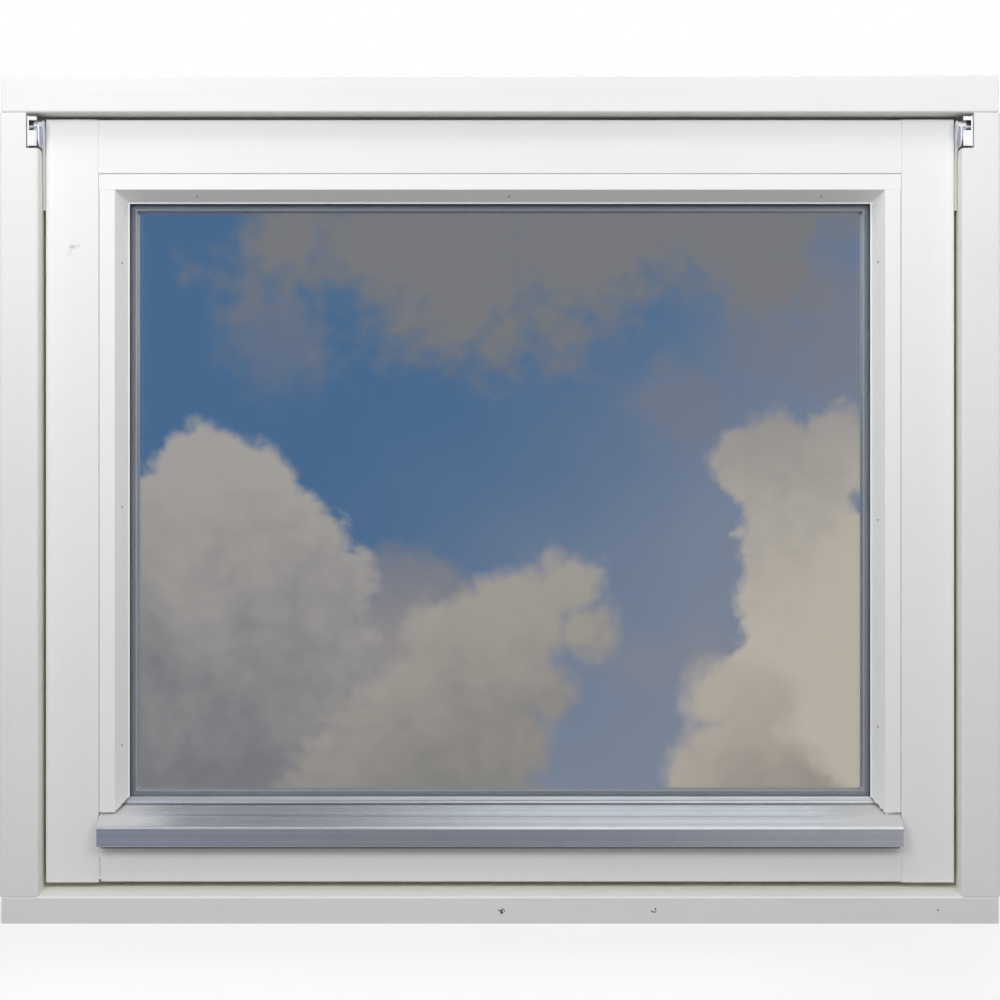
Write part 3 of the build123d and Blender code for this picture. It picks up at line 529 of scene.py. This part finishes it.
def stroke(n, start, end, reach, edge):
    """1 on the line between two places and 0 beyond its reach. A fine noise roughens the edge."""
    place = n.place()
    line = Vector(end) - Vector(start)
    offset = n.vectors("SUBTRACT", place, start)
    along = n.vectors("DOT_PRODUCT", offset, line)
    along = n.maths("MULTIPLY", along, 1.0 / line.length_squared, clamp=True)
    nearest = n.add("ShaderNodeVectorMath", {0: line, 3: along}, operation="SCALE").outputs[0]
    gap = n.vectors("DISTANCE", offset, nearest)
    gap = n.add_noise(gap, n.noise(place, SKIN_SCALE, detail=3.0), STROKE_RAGGED * reach)
    return n.ramp(gap, reach + edge, reach - edge)


def marked(n, colour, marks):
    """Lays marks over a colour. Each has its two ends across and up in millimetres, its depth behind
    the frame's front, and its reach, edge and tint."""
    for (x0, z0), (x1, z1), depth, reach, edge, tint in marks:
        y = front + depth
        mask = stroke(n, (x0 / 1000, y, z0 / 1000), (x1 / 1000, y, z1 / 1000), reach, edge)
        colour = n.blend(mask, colour, tint)
    return colour


CHIP_DARK = (0.05, 0.048, 0.04)
CHIP_GREY = (0.24, 0.235, 0.215)
CHIP_PALE = (0.90, 0.90, 0.87)
CHIPS = (
    ((-0.6, 14.4), (-0.2, 14.3), 0.0, 0.0007, 0.0005, CHIP_PALE),
    ((5.6, 13.6), (5.9, 12.4), 0.0, 0.0006, 0.0006, CHIP_PALE),
    ((1.6, 14.5), (3.4, 13.9), 0.0, 0.0006, 0.0006, CHIP_GREY),
    ((3.4, 13.9), (4.6, 12.4), 0.0, 0.0006, 0.0006, CHIP_GREY),
    ((-1.0, 13.0), (1.2, 12.8), 0.0, 0.0007, 0.0004, CHIP_DARK),
    ((1.2, 12.8), (2.2, 11.0), 0.0, 0.0010, 0.0004, CHIP_DARK),
    ((2.2, 10.9), (0.9, 10.5), 0.0, 0.0008, 0.0005, CHIP_DARK),
    ((151.0, 14.8), (151.2, 14.4), 0.0, 0.0007, 0.0006, CHIP_PALE),
    ((149.8, 12.6), (151.4, 11.7), 0.0, 0.0008, 0.0006, CHIP_GREY),
    ((151.4, 11.7), (152.9, 11.3), 0.0, 0.0006, 0.0006, CHIP_GREY),
    ((153.8, 14.5), (153.8, 14.1), 0.0, 0.0008, 0.0004, CHIP_DARK),
    ((153.8, 12.2), (153.9, 12.0), 0.0, 0.0005, 0.0005, CHIP_DARK),
    ((432.6, 13.2), (433.6, 13.6), 0.0, 0.0006, 0.0005, CHIP_GREY),
)
NICKS = (((-456.4, 425.0), (-456.0, 421.0), 0.0, 0.0007, 0.0006, CHIP_GREY),)
PITH = (0.0, front + 0.04, -0.06)  # the heart of the tree, below the board, about which its rings turn
RING_STEP = 0.0032
RING_WAVE = 0.012  # how far the rings wander
SAWN_FADE = (0.0006, 0.0002)  # the paint stops between these distances from a sawn end
for index, (node, long_way, primed_from, gap_tone, marks) in enumerate((
    ("frame_head", "X", 0.001, PRIMER_AND_BOUNCE, ()),
    ("frame_sill", "X", 0.011, SILL_PRIMER, CHIPS),
    ("frame_jamb_left", "Z", 0.002, PRIMER_AND_BOUNCE, NICKS),
    ("frame_jamb_right", "Z", 0.002, PRIMER_AND_BOUNCE, ()),
)):
    paint, n, colour, shader = painted(
        f"paint_{node}", long_way, FRAME_WHITE, FRAME_SHADE,
        roughness=0.36, marks=1.0, shift=3.1 * index,
    )
    across, behind, _ = n.split(n.place())
    if node == "frame_sill":
        # painted shade on the slope and its front arris
        slope_shade = n.ramp(behind, front + SILL_SHADE_FROM[0], front + SILL_SHADE_FROM[1])
        colour = n.blend(slope_shade, colour, SILL_PAINTED_SHADE)
        # a painted shadow on the slope under the sash, fading out at both depths
        sash_shadow = n.ramp(behind, front + SILL_SHADOW_FROM[0], front + SILL_SHADOW_FROM[1], 0.0, SILL_SHADOW_COVER)
        sash_shadow_end = n.ramp(behind, front + SILL_SHADOW_TO[0], front + SILL_SHADOW_TO[1])
        colour = n.blend(n.maths("MULTIPLY", sash_shadow, sash_shadow_end), colour, SILL_PAINTED_SHADOW)
    # the gap's primer, which on the head and jambs also carries painted light
    primed = n.ramp(behind, front + primed_from, front + primed_from + PRIMER_FADE)
    primer_end = n.ramp(behind, handle_back - PRIMER_TO[0], handle_back - PRIMER_TO[1])
    primed = n.maths("MULTIPLY", primed, primer_end)
    colour = n.blend(primed, marked(n, colour, marks), gap_tone)
    if long_way == "X":
        cut = n.vectors("MULTIPLY", n.vectors("SUBTRACT", n.place(), PITH), (0.0, 1.0, 1.0))
        growth = n.add_noise(n.vectors("LENGTH", cut), n.noise(n.place(), 30.0, detail=3.0), RING_WAVE)
        ring = n.maths("PINGPONG", growth, RING_STEP)
        rings = n.blend(n.ramp(ring, 0.2 * RING_STEP, RING_STEP), END_LIGHT, END_DARK)
        aside = n.maths("ABSOLUTE", across)
        end = n.ramp(aside, sawn_end - SAWN_FADE[0], sawn_end - SAWN_FADE[1])
        colour = n.blend(end, colour, rings)
    n.put(colour, shader.inputs["Base Color"])
    finish(node, paint)


# The sash: two stiles from top to bottom with the rails scribed between, painted with the frame.
# It has had one more coat than the frame, so its brush marks are fainter. Something has rubbed the
# left stile, the joint at its foot has opened a little, and a painted shadow lines the rail under the
# drip bead.
SASH_WHITE = (0.865, 0.865, 0.862)
SASH_SHADE = (0.82, 0.82, 0.812)
SASH_DEPTH = 0.015  # the sash's face behind the frame's
RUB_DARK = (0.55, 0.55, 0.55)
RUB_PALE = (0.70, 0.70, 0.70)
RUBS = (
    ((-427.9, 672.3), (-419.9, 673.1), SASH_DEPTH, 0.0010, 0.0014, RUB_PALE),
    ((-429.1, 671.0), (-429.0, 663.6), SASH_DEPTH, 0.0007, 0.0011, RUB_PALE),
    ((-432.0, 667.0), (-432.1, 663.2), SASH_DEPTH, 0.0005, 0.0012, RUB_PALE),
    ((-428.6, 672.0), (-426.2, 671.4), SASH_DEPTH, 0.0013, 0.0016, RUB_DARK),
)
OPEN_JOINT = (
    ((-399.6, 37.2), (-399.4, 39.6), SASH_DEPTH, 0.0009, 0.0007, CHIP_DARK),
    ((-399.4, 43.0), (-399.5, 62.0), SASH_DEPTH, 0.0002, 0.0004, CHIP_GREY),
)
# a painted shadow on the rail right under the drip bead's lip
SHADOW_UNDER_DRIP = (((-399.0, 71.7), (399.0, 71.7), SASH_DEPTH, 0.0007, 0.0009, (0.15, 0.15, 0.145)),)
for index, (node, long_way, marks) in enumerate((
    ("sash_stile_left", "Z", RUBS + OPEN_JOINT), ("sash_stile_right", "Z", ()),
    ("sash_top_rail", "X", ()), ("sash_bottom_rail", "X", OPEN_JOINT + SHADOW_UNDER_DRIP),
)):
    paint, n, colour, shader = painted(
        f"paint_{node}", long_way, SASH_WHITE, SASH_SHADE,
        roughness=0.34, marks=0.8, shift=20.0 + 3.7 * index,
    )
    n.put(marked(n, colour, marks), shader.inputs["Base Color"])
    finish(node, paint)


# The timber beads: moulded strips with a flat face and a bevel, which hold the glass on three sides.
# They are painted before they go in, so their white is the freshest. The saw has torn their lower ends.
BEAD_WHITE = (0.895, 0.895, 0.89)
BEAD_SHADE = (0.85, 0.85, 0.843)
for index, (node, long_way) in enumerate((
    ("glazing_bead_top", "X"), ("glazing_bead_left", "Z"), ("glazing_bead_right", "Z"),
)):
    paint, *_ = painted(
        f"paint_{node}", long_way, BEAD_WHITE, BEAD_SHADE,
        roughness=0.36, marks=0.7, shift=40.0 + 2.9 * index,
    )
    finish(node, paint)


def turned(profile, middle, facing, sides=20):
    """A profile turned round a line. Each point stands its height along the facing direction and its
    radius out from it, at equal turns. The profile is in millimetres and starts and ends on the line."""
    radius, height = np.array(profile).T[:, :, None, None] / 1000
    facing = Vector(facing).normalized()
    over = facing.orthogonal().normalized()
    side = np.array(facing.cross(over))
    turn = np.linspace(0.0, 2 * np.pi, sides, endpoint=False)[:, None]
    ring = np.cos(turn) * np.array(over) + np.sin(turn) * side
    return np.array(middle) + radius * ring + height * np.array(facing)


def piece(name, grids, material):
    """One mesh from grids of points, carried by the window. The columns of a grid close into rings, and
    a row that has shrunk to a point is merged, which shuts the shape there."""
    mesh = bpy.data.meshes.new(name)
    faces = []
    start = 0
    for grid in grids:
        index = start + np.arange(grid.shape[0] * grid.shape[1]).reshape(grid.shape[:2])
        start += index.size
        above, below = index[:-1], index[1:]
        corners = (above, below, np.roll(below, -1, axis=1), np.roll(above, -1, axis=1))
        faces.append(np.stack(corners, axis=-1).reshape(-1, 4))
    points = np.concatenate([grid.reshape(-1, 3) for grid in grids])
    mesh.from_pydata(points.tolist(), [], np.concatenate(faces).tolist())
    build = bmesh.new()
    build.from_mesh(mesh)
    bmesh.ops.remove_doubles(build, verts=build.verts, dist=1e-7)
    bmesh.ops.recalc_face_normals(build, faces=build.faces)
    build.to_mesh(mesh)
    build.free()
    mesh.shade_smooth()
    mesh.set_sharp_from_angle(angle=math.radians(40))
    mesh.materials.append(material)
    thing = bpy.data.objects.new(name, mesh)
    scene.collection.objects.link(thing)
    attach(thing, "root")


# The torn fibres stand out of the beads' lower ends, along the flat's edge and up the bevel's.
# Each is a thin bent cone, broken off at its own length.
FLAT_EDGE = SASH_DEPTH + front  # depth of the flat
END_HEIGHT = 0.1070  # lower end of the flat
END_FALL = 0.739  # how steeply the bead's end rises from there towards the glass
END_OUT = 0.3998  # where the end starts, half the width between the flats' outer edges
END_FLAT = 0.0143  # how far it runs inwards over the flat
END_BEVEL = 0.0105  # and over the bevel
END_DEPTH = 0.0155  # how far the bevel runs back meanwhile
FLAT_SHARE = 0.4  # share of the fibres that stands on the flat's edge
ROOTED = (0.0006, 0.0010)  # how far the fibres start inside the wood, backwards and upwards
SHORTEST = 0.0015
BEVEL_SHORTER = 0.25  # share by which the fibres at the glass are shorter
THINNEST = 0.00028
THICKER = 0.00030  # what chance may add to that
LEAN = 0.30  # sideways, as a share of the length
BEND = 0.4  # forwards, the same
FIBRE_ROWS = np.array((0.0, 0.35, 0.7, 0.9, 1.0))  # rings of points, as shares of the length
FIBRE_SIDES = 6


def torn_fibres(count, side, longest, seed):
    """Cones of fibre. Each starts at its own place on the end's edge and goes down by its length, while
    its radius falls with the square root of what is left and its line bends forwards and sideways."""
    dice = np.random.default_rng(seed)
    where = np.sort(dice.random(count))[:, None, None]
    along_flat = np.clip(where / FLAT_SHARE, 0.0, 1.0)
    up_bevel = np.clip((where - FLAT_SHARE) / (1.0 - FLAT_SHARE), 0.0, 1.0)
    x = side * (END_OUT - END_FLAT * along_flat - END_BEVEL * up_bevel)
    y = FLAT_EDGE + ROOTED[0] + END_DEPTH * up_bevel
    z = END_HEIGHT + ROOTED[1] + END_FALL * END_DEPTH * up_bevel
    length = (SHORTEST + longest * dice.random((count, 1, 1))) * (1.0 - BEVEL_SHORTER * up_bevel)
    thick = THINNEST + THICKER * dice.random((count, 1, 1))
    lean = dice.normal(0.0, LEAN, (count, 1, 1))
    down = FIBRE_ROWS[None, :, None]
    turn = np.linspace(0.0, 2 * np.pi, FIBRE_SIDES, endpoint=False)[None, None, :]
    radius = thick * np.sqrt(1.0 - down)
    return np.stack((
        x + radius * np.cos(turn) + lean * length * down ** 2,
        y + radius * np.sin(turn) - BEND * length * down + 0.0 * turn,
        z - length * down + 0.0 * turn,
    ), axis=-1)


FIBRE_WHITE = (0.86, 0.85, 0.82)
FIBRE_BARE = (0.62, 0.57, 0.46)
painted_fibre, *_ = painted(
    "painted_fibre", "Z", FIBRE_WHITE, FIBRE_BARE, roughness=0.6, marks=1.0, shift=60.0,
)
fibres = []
for side, count, longest, seed in ((-1, 10, 0.0006, 3), (1, 30, 0.0034, 8)):
    cones = torn_fibres(count, side, longest, seed)
    roots = cones[:, :1].mean(axis=2, keepdims=True)  # a row at one point, which shuts the cone
    fibres.extend(np.concatenate((np.repeat(roots, FIBRE_SIDES, axis=2), cones), axis=1))
piece("torn_bead_fibres", fibres, painted_fibre)


# The panel pins: three thin nails hold each timber bead, driven through its bevel into the sash.
# The punch leaves a shallow crater with a raised lip, and the dark head shows in it.
BEVEL_EDGE = 0.385  # half the width between the flats' inner edges
BEVEL_TOP = 0.729  # height of the top flat's inner edge
BEVEL_WIDTH = 0.0096
BEVEL_DEPTH = 0.01573
PIN_PLACE = 0.55  # share of the bevel's width at which the pins go in
PIN_TURN = (0.8535, -0.5210)  # the bevel's outward direction: towards the glass's middle, and forwards
CRATER = (
    (0.0, -0.35), (2.2, -0.35), (2.2, -0.02), (1.75, 0.14), (1.35, 0.20), (1.05, 0.12), (0.85, 0.03),
    (0.0, 0.02),
)
PIN_HEAD = ((0.0, -0.20), (0.72, -0.20), (0.72, 0.09), (0.50, 0.115), (0.0, 0.11))
pin_y = front + SASH_DEPTH + BEVEL_DEPTH * PIN_PLACE
pin_in = BEVEL_WIDTH * PIN_PLACE
pins = []
for side, heights in ((-1, (0.657, 0.412, 0.173)), (1, (0.658, 0.399, 0.191))):
    for height in heights:
        place = (side * (BEVEL_EDGE - pin_in), pin_y, height)
        pins.append((place, (-side * PIN_TURN[0], PIN_TURN[1], 0.0)))
for across in (-0.3045, 0.009, 0.3226):
    pins.append(((across, pin_y, BEVEL_TOP - pin_in), (0.0, PIN_TURN[1], -PIN_TURN[0])))
FILLER_WHITE = (0.84, 0.84, 0.82)
FILLER_SHADE = (0.72, 0.71, 0.68)
bead_filler, *_ = painted(
    "bead_filler", "Z", FILLER_WHITE, FILLER_SHADE, roughness=0.5, marks=1.0, shift=70.0,
)
piece("pin_craters", [turned(CRATER, *pin) for pin in pins], bead_filler)


# The drip bead: drawn aluminium in mill finish, which carries rain from the glass over the rail.
# The die leaves fine lines along it, and handling leaves duller patches. Painted highlights lie on its
# edges, more so to the right, a painted shadow darkens the undercut below its nose, and both ends are
# paler and matt.
drawn_metal, given, result = group(
    "drawn_metal",
    (
        ("Along", "NodeSocketVector", None),
        ("Place", "NodeSocketVector", None),
        ("Colour", "NodeSocketColor", (0.8, 0.8, 0.8, 1.0)),
        ("Dull", "NodeSocketColor", (0.6, 0.6, 0.6, 1.0)),
        ("Roughness", "NodeSocketFloat", 0.3),
    ),
    FINISH_OUTPUTS,
)
BAND_SCALE = 0.22  # broad bands among the die's fine lines
BLOOM_SCALE = 28.0
n = Nodes(drawn_metal)
lines = n.noise(given["Along"], 1.0, detail=5.0, roughness=0.65)
bands = n.noise(given["Along"], BAND_SCALE, detail=3.0)
bloom = n.noise(given["Place"], BLOOM_SCALE, detail=5.0, roughness=0.6)
dull_bands = n.ramp(bands, 0.35, 0.70)
dull_bloom = n.ramp(bloom, 0.45, 0.80, 0.0, 0.45)
dull = n.maths("MULTIPLY_ADD", dull_bands, 0.55, dull_bloom)
n.put(n.blend(dull, given["Colour"], given["Dull"]), result["Colour"])
rough = n.add_noise(given["Roughness"], lines, 0.16)
n.put(n.maths("MULTIPLY_ADD", dull, 0.08, rough, clamp=True), result["Roughness"])
relief = n.maths("MULTIPLY_ADD", bands, 1.6, lines)
bump = n.add("ShaderNodeBump", {"Height": relief, "Strength": 0.30, "Distance": 0.0001})
n.put(bump.outputs[0], result["Normal"])


def drawn(name, long_way, line_length, line_width, colour, dull, roughness):
    """Bare metal whose drawing lines run along one axis."""
    material, n = blank(name)
    metal = n.add("ShaderNodeGroup", node_tree=drawn_metal)
    for label, value in (
        ("Along", stretched(n, long_way, line_length, line_width)), ("Place", n.place()),
        ("Colour", colour), ("Dull", dull), ("Roughness", roughness),
    ):
        n.put(value, metal.inputs[label])
    shader = n.add("ShaderNodeBsdfPrincipled", {
        "Base Color": metal.outputs["Colour"],
        "Metallic": 1.0,
        "Roughness": metal.outputs["Roughness"],
        "Normal": metal.outputs["Normal"],
    })
    n.surface(shader.outputs[0])
    return material, n, metal, shader


def band(n, height, middle, reach):
    """1 at a height and 0 beyond its reach, with a soft edge."""
    away = n.maths("ABSOLUTE", n.maths("SUBTRACT", height, middle))
    return n.ramp(away, 1.3 * reach, 0.7 * reach)


MILL_BRIGHT = (0.82, 0.83, 0.85)
MILL_DULL = (0.64, 0.65, 0.68)
SLOPE_TOP = 0.1125  # height at which the bead's slope ends and its nose begins
FACET = (0.1139, 0.0010)  # middle and half height of the nose's upright facet
LIP_EDGE = (0.0934, 0.0010)  # the same for the edge between slope and lip
# painted highlights on the nose's facet and the lip's edge
PAINTED_HIGHLIGHT = (0.93, 0.935, 0.94)
HIGHLIGHT_MATT = 0.85  # how far a painted highlight scatters light in place of mirroring it
HIGHLIGHT_RISE = (-0.22, 0.12, 0.25, 1.0)  # the painted highlights grow from the left to the right
UNDERCUT = (0.1119, 0.0006)  # middle and half height of the undercut below the nose
# painted shadow in the undercut below the nose
SLOT_PAINTED_SHADOW = (0.30, 0.30, 0.32)
PALE_ENDS = (0.60, 0.60, 0.60)  # paler, matt metal at both ends, beside the timber beads
PALE_ASIDE = (0.30, 0.385)
PALE_SHIFT = 0.01  # the bare middle lies this far to the left
PALE_MATT = 0.8
NOSE_DULL = 0.08
mill_aluminium, n, metal, shader = drawn(
    "mill_aluminium", "X", line_length=0.35, line_width=0.0009,
    colour=MILL_BRIGHT, dull=MILL_DULL, roughness=0.20,
)
across, _, height = n.split(n.place())
highlight_rise = n.ramp(across, *HIGHLIGHT_RISE)
# painted highlights on the nose's facet and the lip's edge, stronger to the right
highlight = n.maths("MAXIMUM", band(n, height, *FACET), band(n, height, *LIP_EDGE))
highlight = n.maths("MULTIPLY", highlight, highlight_rise)
# a painted shadow along the undercut
slot_shadow = band(n, height, *UNDERCUT)
# paler and matt towards both ends
toward_ends = n.ramp(n.maths("ABSOLUTE", n.maths("ADD", across, PALE_SHIFT)), *PALE_ASIDE)
toward_ends = n.maths("MULTIPLY", toward_ends, n.ramp(height, LIP_EDGE[0] + 0.001, LIP_EDGE[0] + 0.003))
toward_ends = n.maths("MULTIPLY", toward_ends, n.ramp(height, SLOPE_TOP + 0.0004, SLOPE_TOP - 0.0004))
nose = n.ramp(height, SLOPE_TOP - 0.0003, SLOPE_TOP + 0.0003, 0.0, NOSE_DULL)
colour = n.blend(toward_ends, metal.outputs["Colour"], PALE_ENDS)
colour = n.blend(slot_shadow, n.blend(highlight, colour, PAINTED_HIGHLIGHT), SLOT_PAINTED_SHADOW)
n.put(colour, shader.inputs["Base Color"])
bare = n.maths("MULTIPLY_ADD", toward_ends, -PALE_MATT, 1.0)
bare = n.maths("MULTIPLY_ADD", highlight, -HIGHLIGHT_MATT, bare, clamp=True)
n.put(bare, shader.inputs["Metallic"])
rough = n.maths("MULTIPLY_ADD", toward_ends, 0.3, n.maths("ADD", metal.outputs["Roughness"], nose))
n.put(n.maths("MULTIPLY_ADD", highlight, 0.2, rough, clamp=True), shader.inputs["Roughness"])
finish("drip_bead", mill_aluminium)


# The pins' heads: dull steel, browned by the weather, one in each crater of the panel pins. They are
# made here because they share the drip bead's bare metal.
pin_steel, *_ = drawn(
    "pin_steel", "Z", line_length=0.001, line_width=0.0004,
    colour=(0.20, 0.18, 0.16), dull=(0.09, 0.075, 0.06), roughness=0.6,
)
piece("pin_heads", [turned(PIN_HEAD, *pin) for pin in pins], pin_steel)


# The glass: two panes of clear float, sealed round a spacer bar with a dry gap between them.
# Light that only casts shadows passes straight through, so the room side isn't darkened.
GLASS_TINT = (0.985, 0.995, 0.992)
clear_glass, n = blank("clear_float_glass")
pane = n.add("ShaderNodeBsdfPrincipled", {
    "Base Color": GLASS_TINT, "Roughness": 0.0, "IOR": 1.52, "Transmission Weight": 1.0,
})
passing = n.add("ShaderNodeBsdfTransparent", {"Color": GLASS_TINT})
shadow = n.add("ShaderNodeLightPath").outputs["Is Shadow Ray"]
n.surface(n.add("ShaderNodeMixShader", {0: shadow, 1: pane.outputs[0], 2: passing.outputs[0]}).outputs[0])
finish("glass_outer_pane", clear_glass)
finish("glass_inner_pane", clear_glass)


# Inside the unit's edge: a folded metal spacer bar filled with drying beads. Its sides are dulled
# blue-grey, a painted highlight lies on its inner corner, and fine slits let the gap's air reach the
# beads.
SPACER_EDGE = (0.3685, 0.1245, 0.7125)  # half width, bottom and top of the opening inside the bar
EDGE_REACH = 0.0008
EDGE_DEPTH = (0.0022, 0.0012)  # the painted highlight shows only near the bar's front
# painted highlight along the bar's inner corner
EDGE_HIGHLIGHT = (0.42, 0.42, 0.44)
SPACER_GREY = (0.270, 0.292, 0.335)
SPACER_SHADE = (0.225, 0.243, 0.285)
SLIT_DARK = (0.10, 0.10, 0.11)
SLIT_STEP = 0.0036
SLIT_SHARE = 0.3  # of a step that a slit takes up, on either side of its middle
SLIT_OUT = 0.0025  # each row's distance from the middle of the bar
SLIT_HALF = 0.0003
spacer_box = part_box("spacer_bar")
spacer_front = spacer_box[0][1]
spacer_middle = (spacer_front + spacer_box[1][1]) / 2
spacer_metal, n, metal, shader = drawn(
    "spacer_bar", "Y", line_length=0.02, line_width=0.0008,
    colour=SPACER_GREY, dull=SPACER_SHADE, roughness=0.30,
)
shader.inputs["Metallic"].default_value = 0.2  # its dulled sides mirror little
across, behind, height = n.split(n.place())
inside = n.maths("SUBTRACT", n.maths("ABSOLUTE", across), SPACER_EDGE[0])
inside = n.maths("MAXIMUM", inside, n.maths("SUBTRACT", SPACER_EDGE[1], height))
inside = n.maths("MAXIMUM", inside, n.maths("SUBTRACT", height, SPACER_EDGE[2]))
edge_highlight = n.ramp(inside, EDGE_REACH + 0.0001, EDGE_REACH - 0.0001)
near = n.ramp(behind, spacer_front + EDGE_DEPTH[0], spacer_front + EDGE_DEPTH[1])
edge_highlight = n.maths("MULTIPLY", edge_highlight, near)
seam = n.maths("ABSOLUTE", n.maths("SUBTRACT", behind, spacer_middle))
beside = n.maths("ABSOLUTE", n.maths("SUBTRACT", seam, SLIT_OUT))
along = n.maths("PINGPONG", n.maths("ADD", across, height), SLIT_STEP / 2)
slit = n.maths("LESS_THAN", along, SLIT_SHARE * SLIT_STEP)
slit = n.maths("MULTIPLY", slit, n.maths("LESS_THAN", beside, SLIT_HALF))
colour = n.blend(slit, n.blend(edge_highlight, metal.outputs["Colour"], EDGE_HIGHLIGHT), SLIT_DARK)
n.put(colour, shader.inputs["Base Color"])
finish("spacer_bar", spacer_metal)


# Black butyl and sealant close the unit's edge. Grey foam tape beds the glass front and back, and
# plastic blocks under its lower corners carry its weight.
def plain(name, colour, shade, roughness, scale, depth):
    """A soft or moulded material: its colour clouded by a fine noise that also roughens the surface."""
    material, n = blank(name)
    fine = n.noise(n.place(), scale, detail=3.0, roughness=0.6)
    broad = n.noise(n.place(), scale / 20.0, detail=3.0)
    mottle = n.maths("MULTIPLY_ADD", fine, 0.5, n.ramp(broad, 0.4, 0.7, 0.0, 0.5))
    bump = n.add("ShaderNodeBump", {"Height": fine, "Strength": 0.4, "Distance": depth})
    shader = n.add("ShaderNodeBsdfPrincipled", {
        "Base Color": n.blend(mottle, colour, shade),
        "Roughness": n.ramp(fine, 0.3, 0.7, roughness - 0.06, roughness + 0.06),
        "Normal": bump.outputs[0],
    })
    n.surface(shader.outputs[0])
    return material


foam_tape = plain(
    "foam_tape", (0.36, 0.365, 0.38), (0.27, 0.275, 0.29),
    roughness=0.85, scale=1800.0, depth=0.0002,
)
black_sealant = plain(
    "black_sealant", (0.022, 0.022, 0.024), (0.035, 0.035, 0.036),
    roughness=0.6, scale=700.0, depth=0.0002,
)
block_plastic = plain(
    "block_plastic", (0.05, 0.14, 0.34), (0.04, 0.11, 0.28),
    roughness=0.5, scale=900.0, depth=0.0001,
)
finish("edge_seal", black_sealant)
finish("setting_blocks", block_plastic)
for node in nodes:
    if node.startswith("glazing_tape"):
        finish(node, foam_tape)


# The weather seal: a soft pale hollow strip pushed into a kerf in the frame's stop.
# The closed sash presses it nearly flat.
seal_rubber = plain(
    "seal_rubber", (0.84, 0.82, 0.76), (0.75, 0.73, 0.68),
    roughness=0.62, scale=1200.0, depth=0.0001,
)
for node in ("seal_head", "seal_sill", "seal_jamb_left", "seal_jamb_right"):
    finish(node, seal_rubber)


# The hinges: folded and zinc-plated steel, a bracket in each jamb and a leaf on the sash's edge.
# The plating is bright but a little cloudy.
zinc_plate, *_ = drawn(
    "zinc_plate", "Z", line_length=0.02, line_width=0.0012,
    colour=(0.95, 0.95, 0.95), dull=(0.88, 0.88, 0.89), roughness=0.22,
)
for side in ("left", "right"):
    for part in ("bracket", "pin", "leaf"):
        finish(f"hinge_{part}_{side}", zinc_plate)


# The handle: a cast lever on a flat rose, powder-coated white, on the room side.
# Two cross-head screws hold the rose.
powder_coat = plain(
    "powder_coat", (0.80, 0.80, 0.79), (0.76, 0.76, 0.75),
    roughness=0.34, scale=1500.0, depth=0.00008,
)
finish("handle_rose", powder_coat)
finish("handle_lever", powder_coat)

SCREW_OUT = 0.021  # each screw's distance from the rose's middle
SCREW_RADIUS = 0.0035
CROSS_REACH = 0.0021
CROSS_WIDTH = 0.00045
CROSS_DEPTH = 0.0007
DOME_HEIGHT = 0.0009
DOME_FALL = 0.75  # share of that height which is lost at the rim
SCREW_SEAT = 0.0004  # how far the head sits inside the rose
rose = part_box("handle_rose")
rose_back = rose[1][1]
rose_middle = (rose[0][2] + rose[1][2]) / 2


def screw_head(across):
    """A low dome on a ring and turn grid: its height falls with the square of the radius, less a cross
    that is cut where a point lies within the cross's width of either axis."""
    radius = SCREW_RADIUS * np.linspace(0.0, 1.0, 22)[:, None]
    turn = np.linspace(0.0, 2 * np.pi, 96, endpoint=False)[None, :]
    x, z = radius * np.cos(turn), radius * np.sin(turn)
    dome = DOME_HEIGHT * (1.0 - DOME_FALL * (radius / SCREW_RADIUS) ** 2) + 0.0 * turn
    arm = np.minimum(np.abs(x), np.abs(z))
    cut = np.clip((CROSS_WIDTH * 1.4 - arm) / (0.4 * CROSS_WIDTH), 0.0, 1.0)
    cut = cut * np.clip((CROSS_REACH - radius) / 0.0003, 0.0, 1.0)
    top = np.stack((across + x, rose_back + dome - CROSS_DEPTH * cut, rose_middle + z), axis=-1)
    foot = top[-1:].copy()
    foot[..., 1] = rose_back - SCREW_SEAT
    under = np.repeat(foot.mean(axis=1, keepdims=True), foot.shape[1], axis=1)
    return np.concatenate((top, foot, under), axis=0)


screws = [screw_head(across) for across in (-SCREW_OUT, SCREW_OUT)]
piece("rose_screws", screws, zinc_plate)
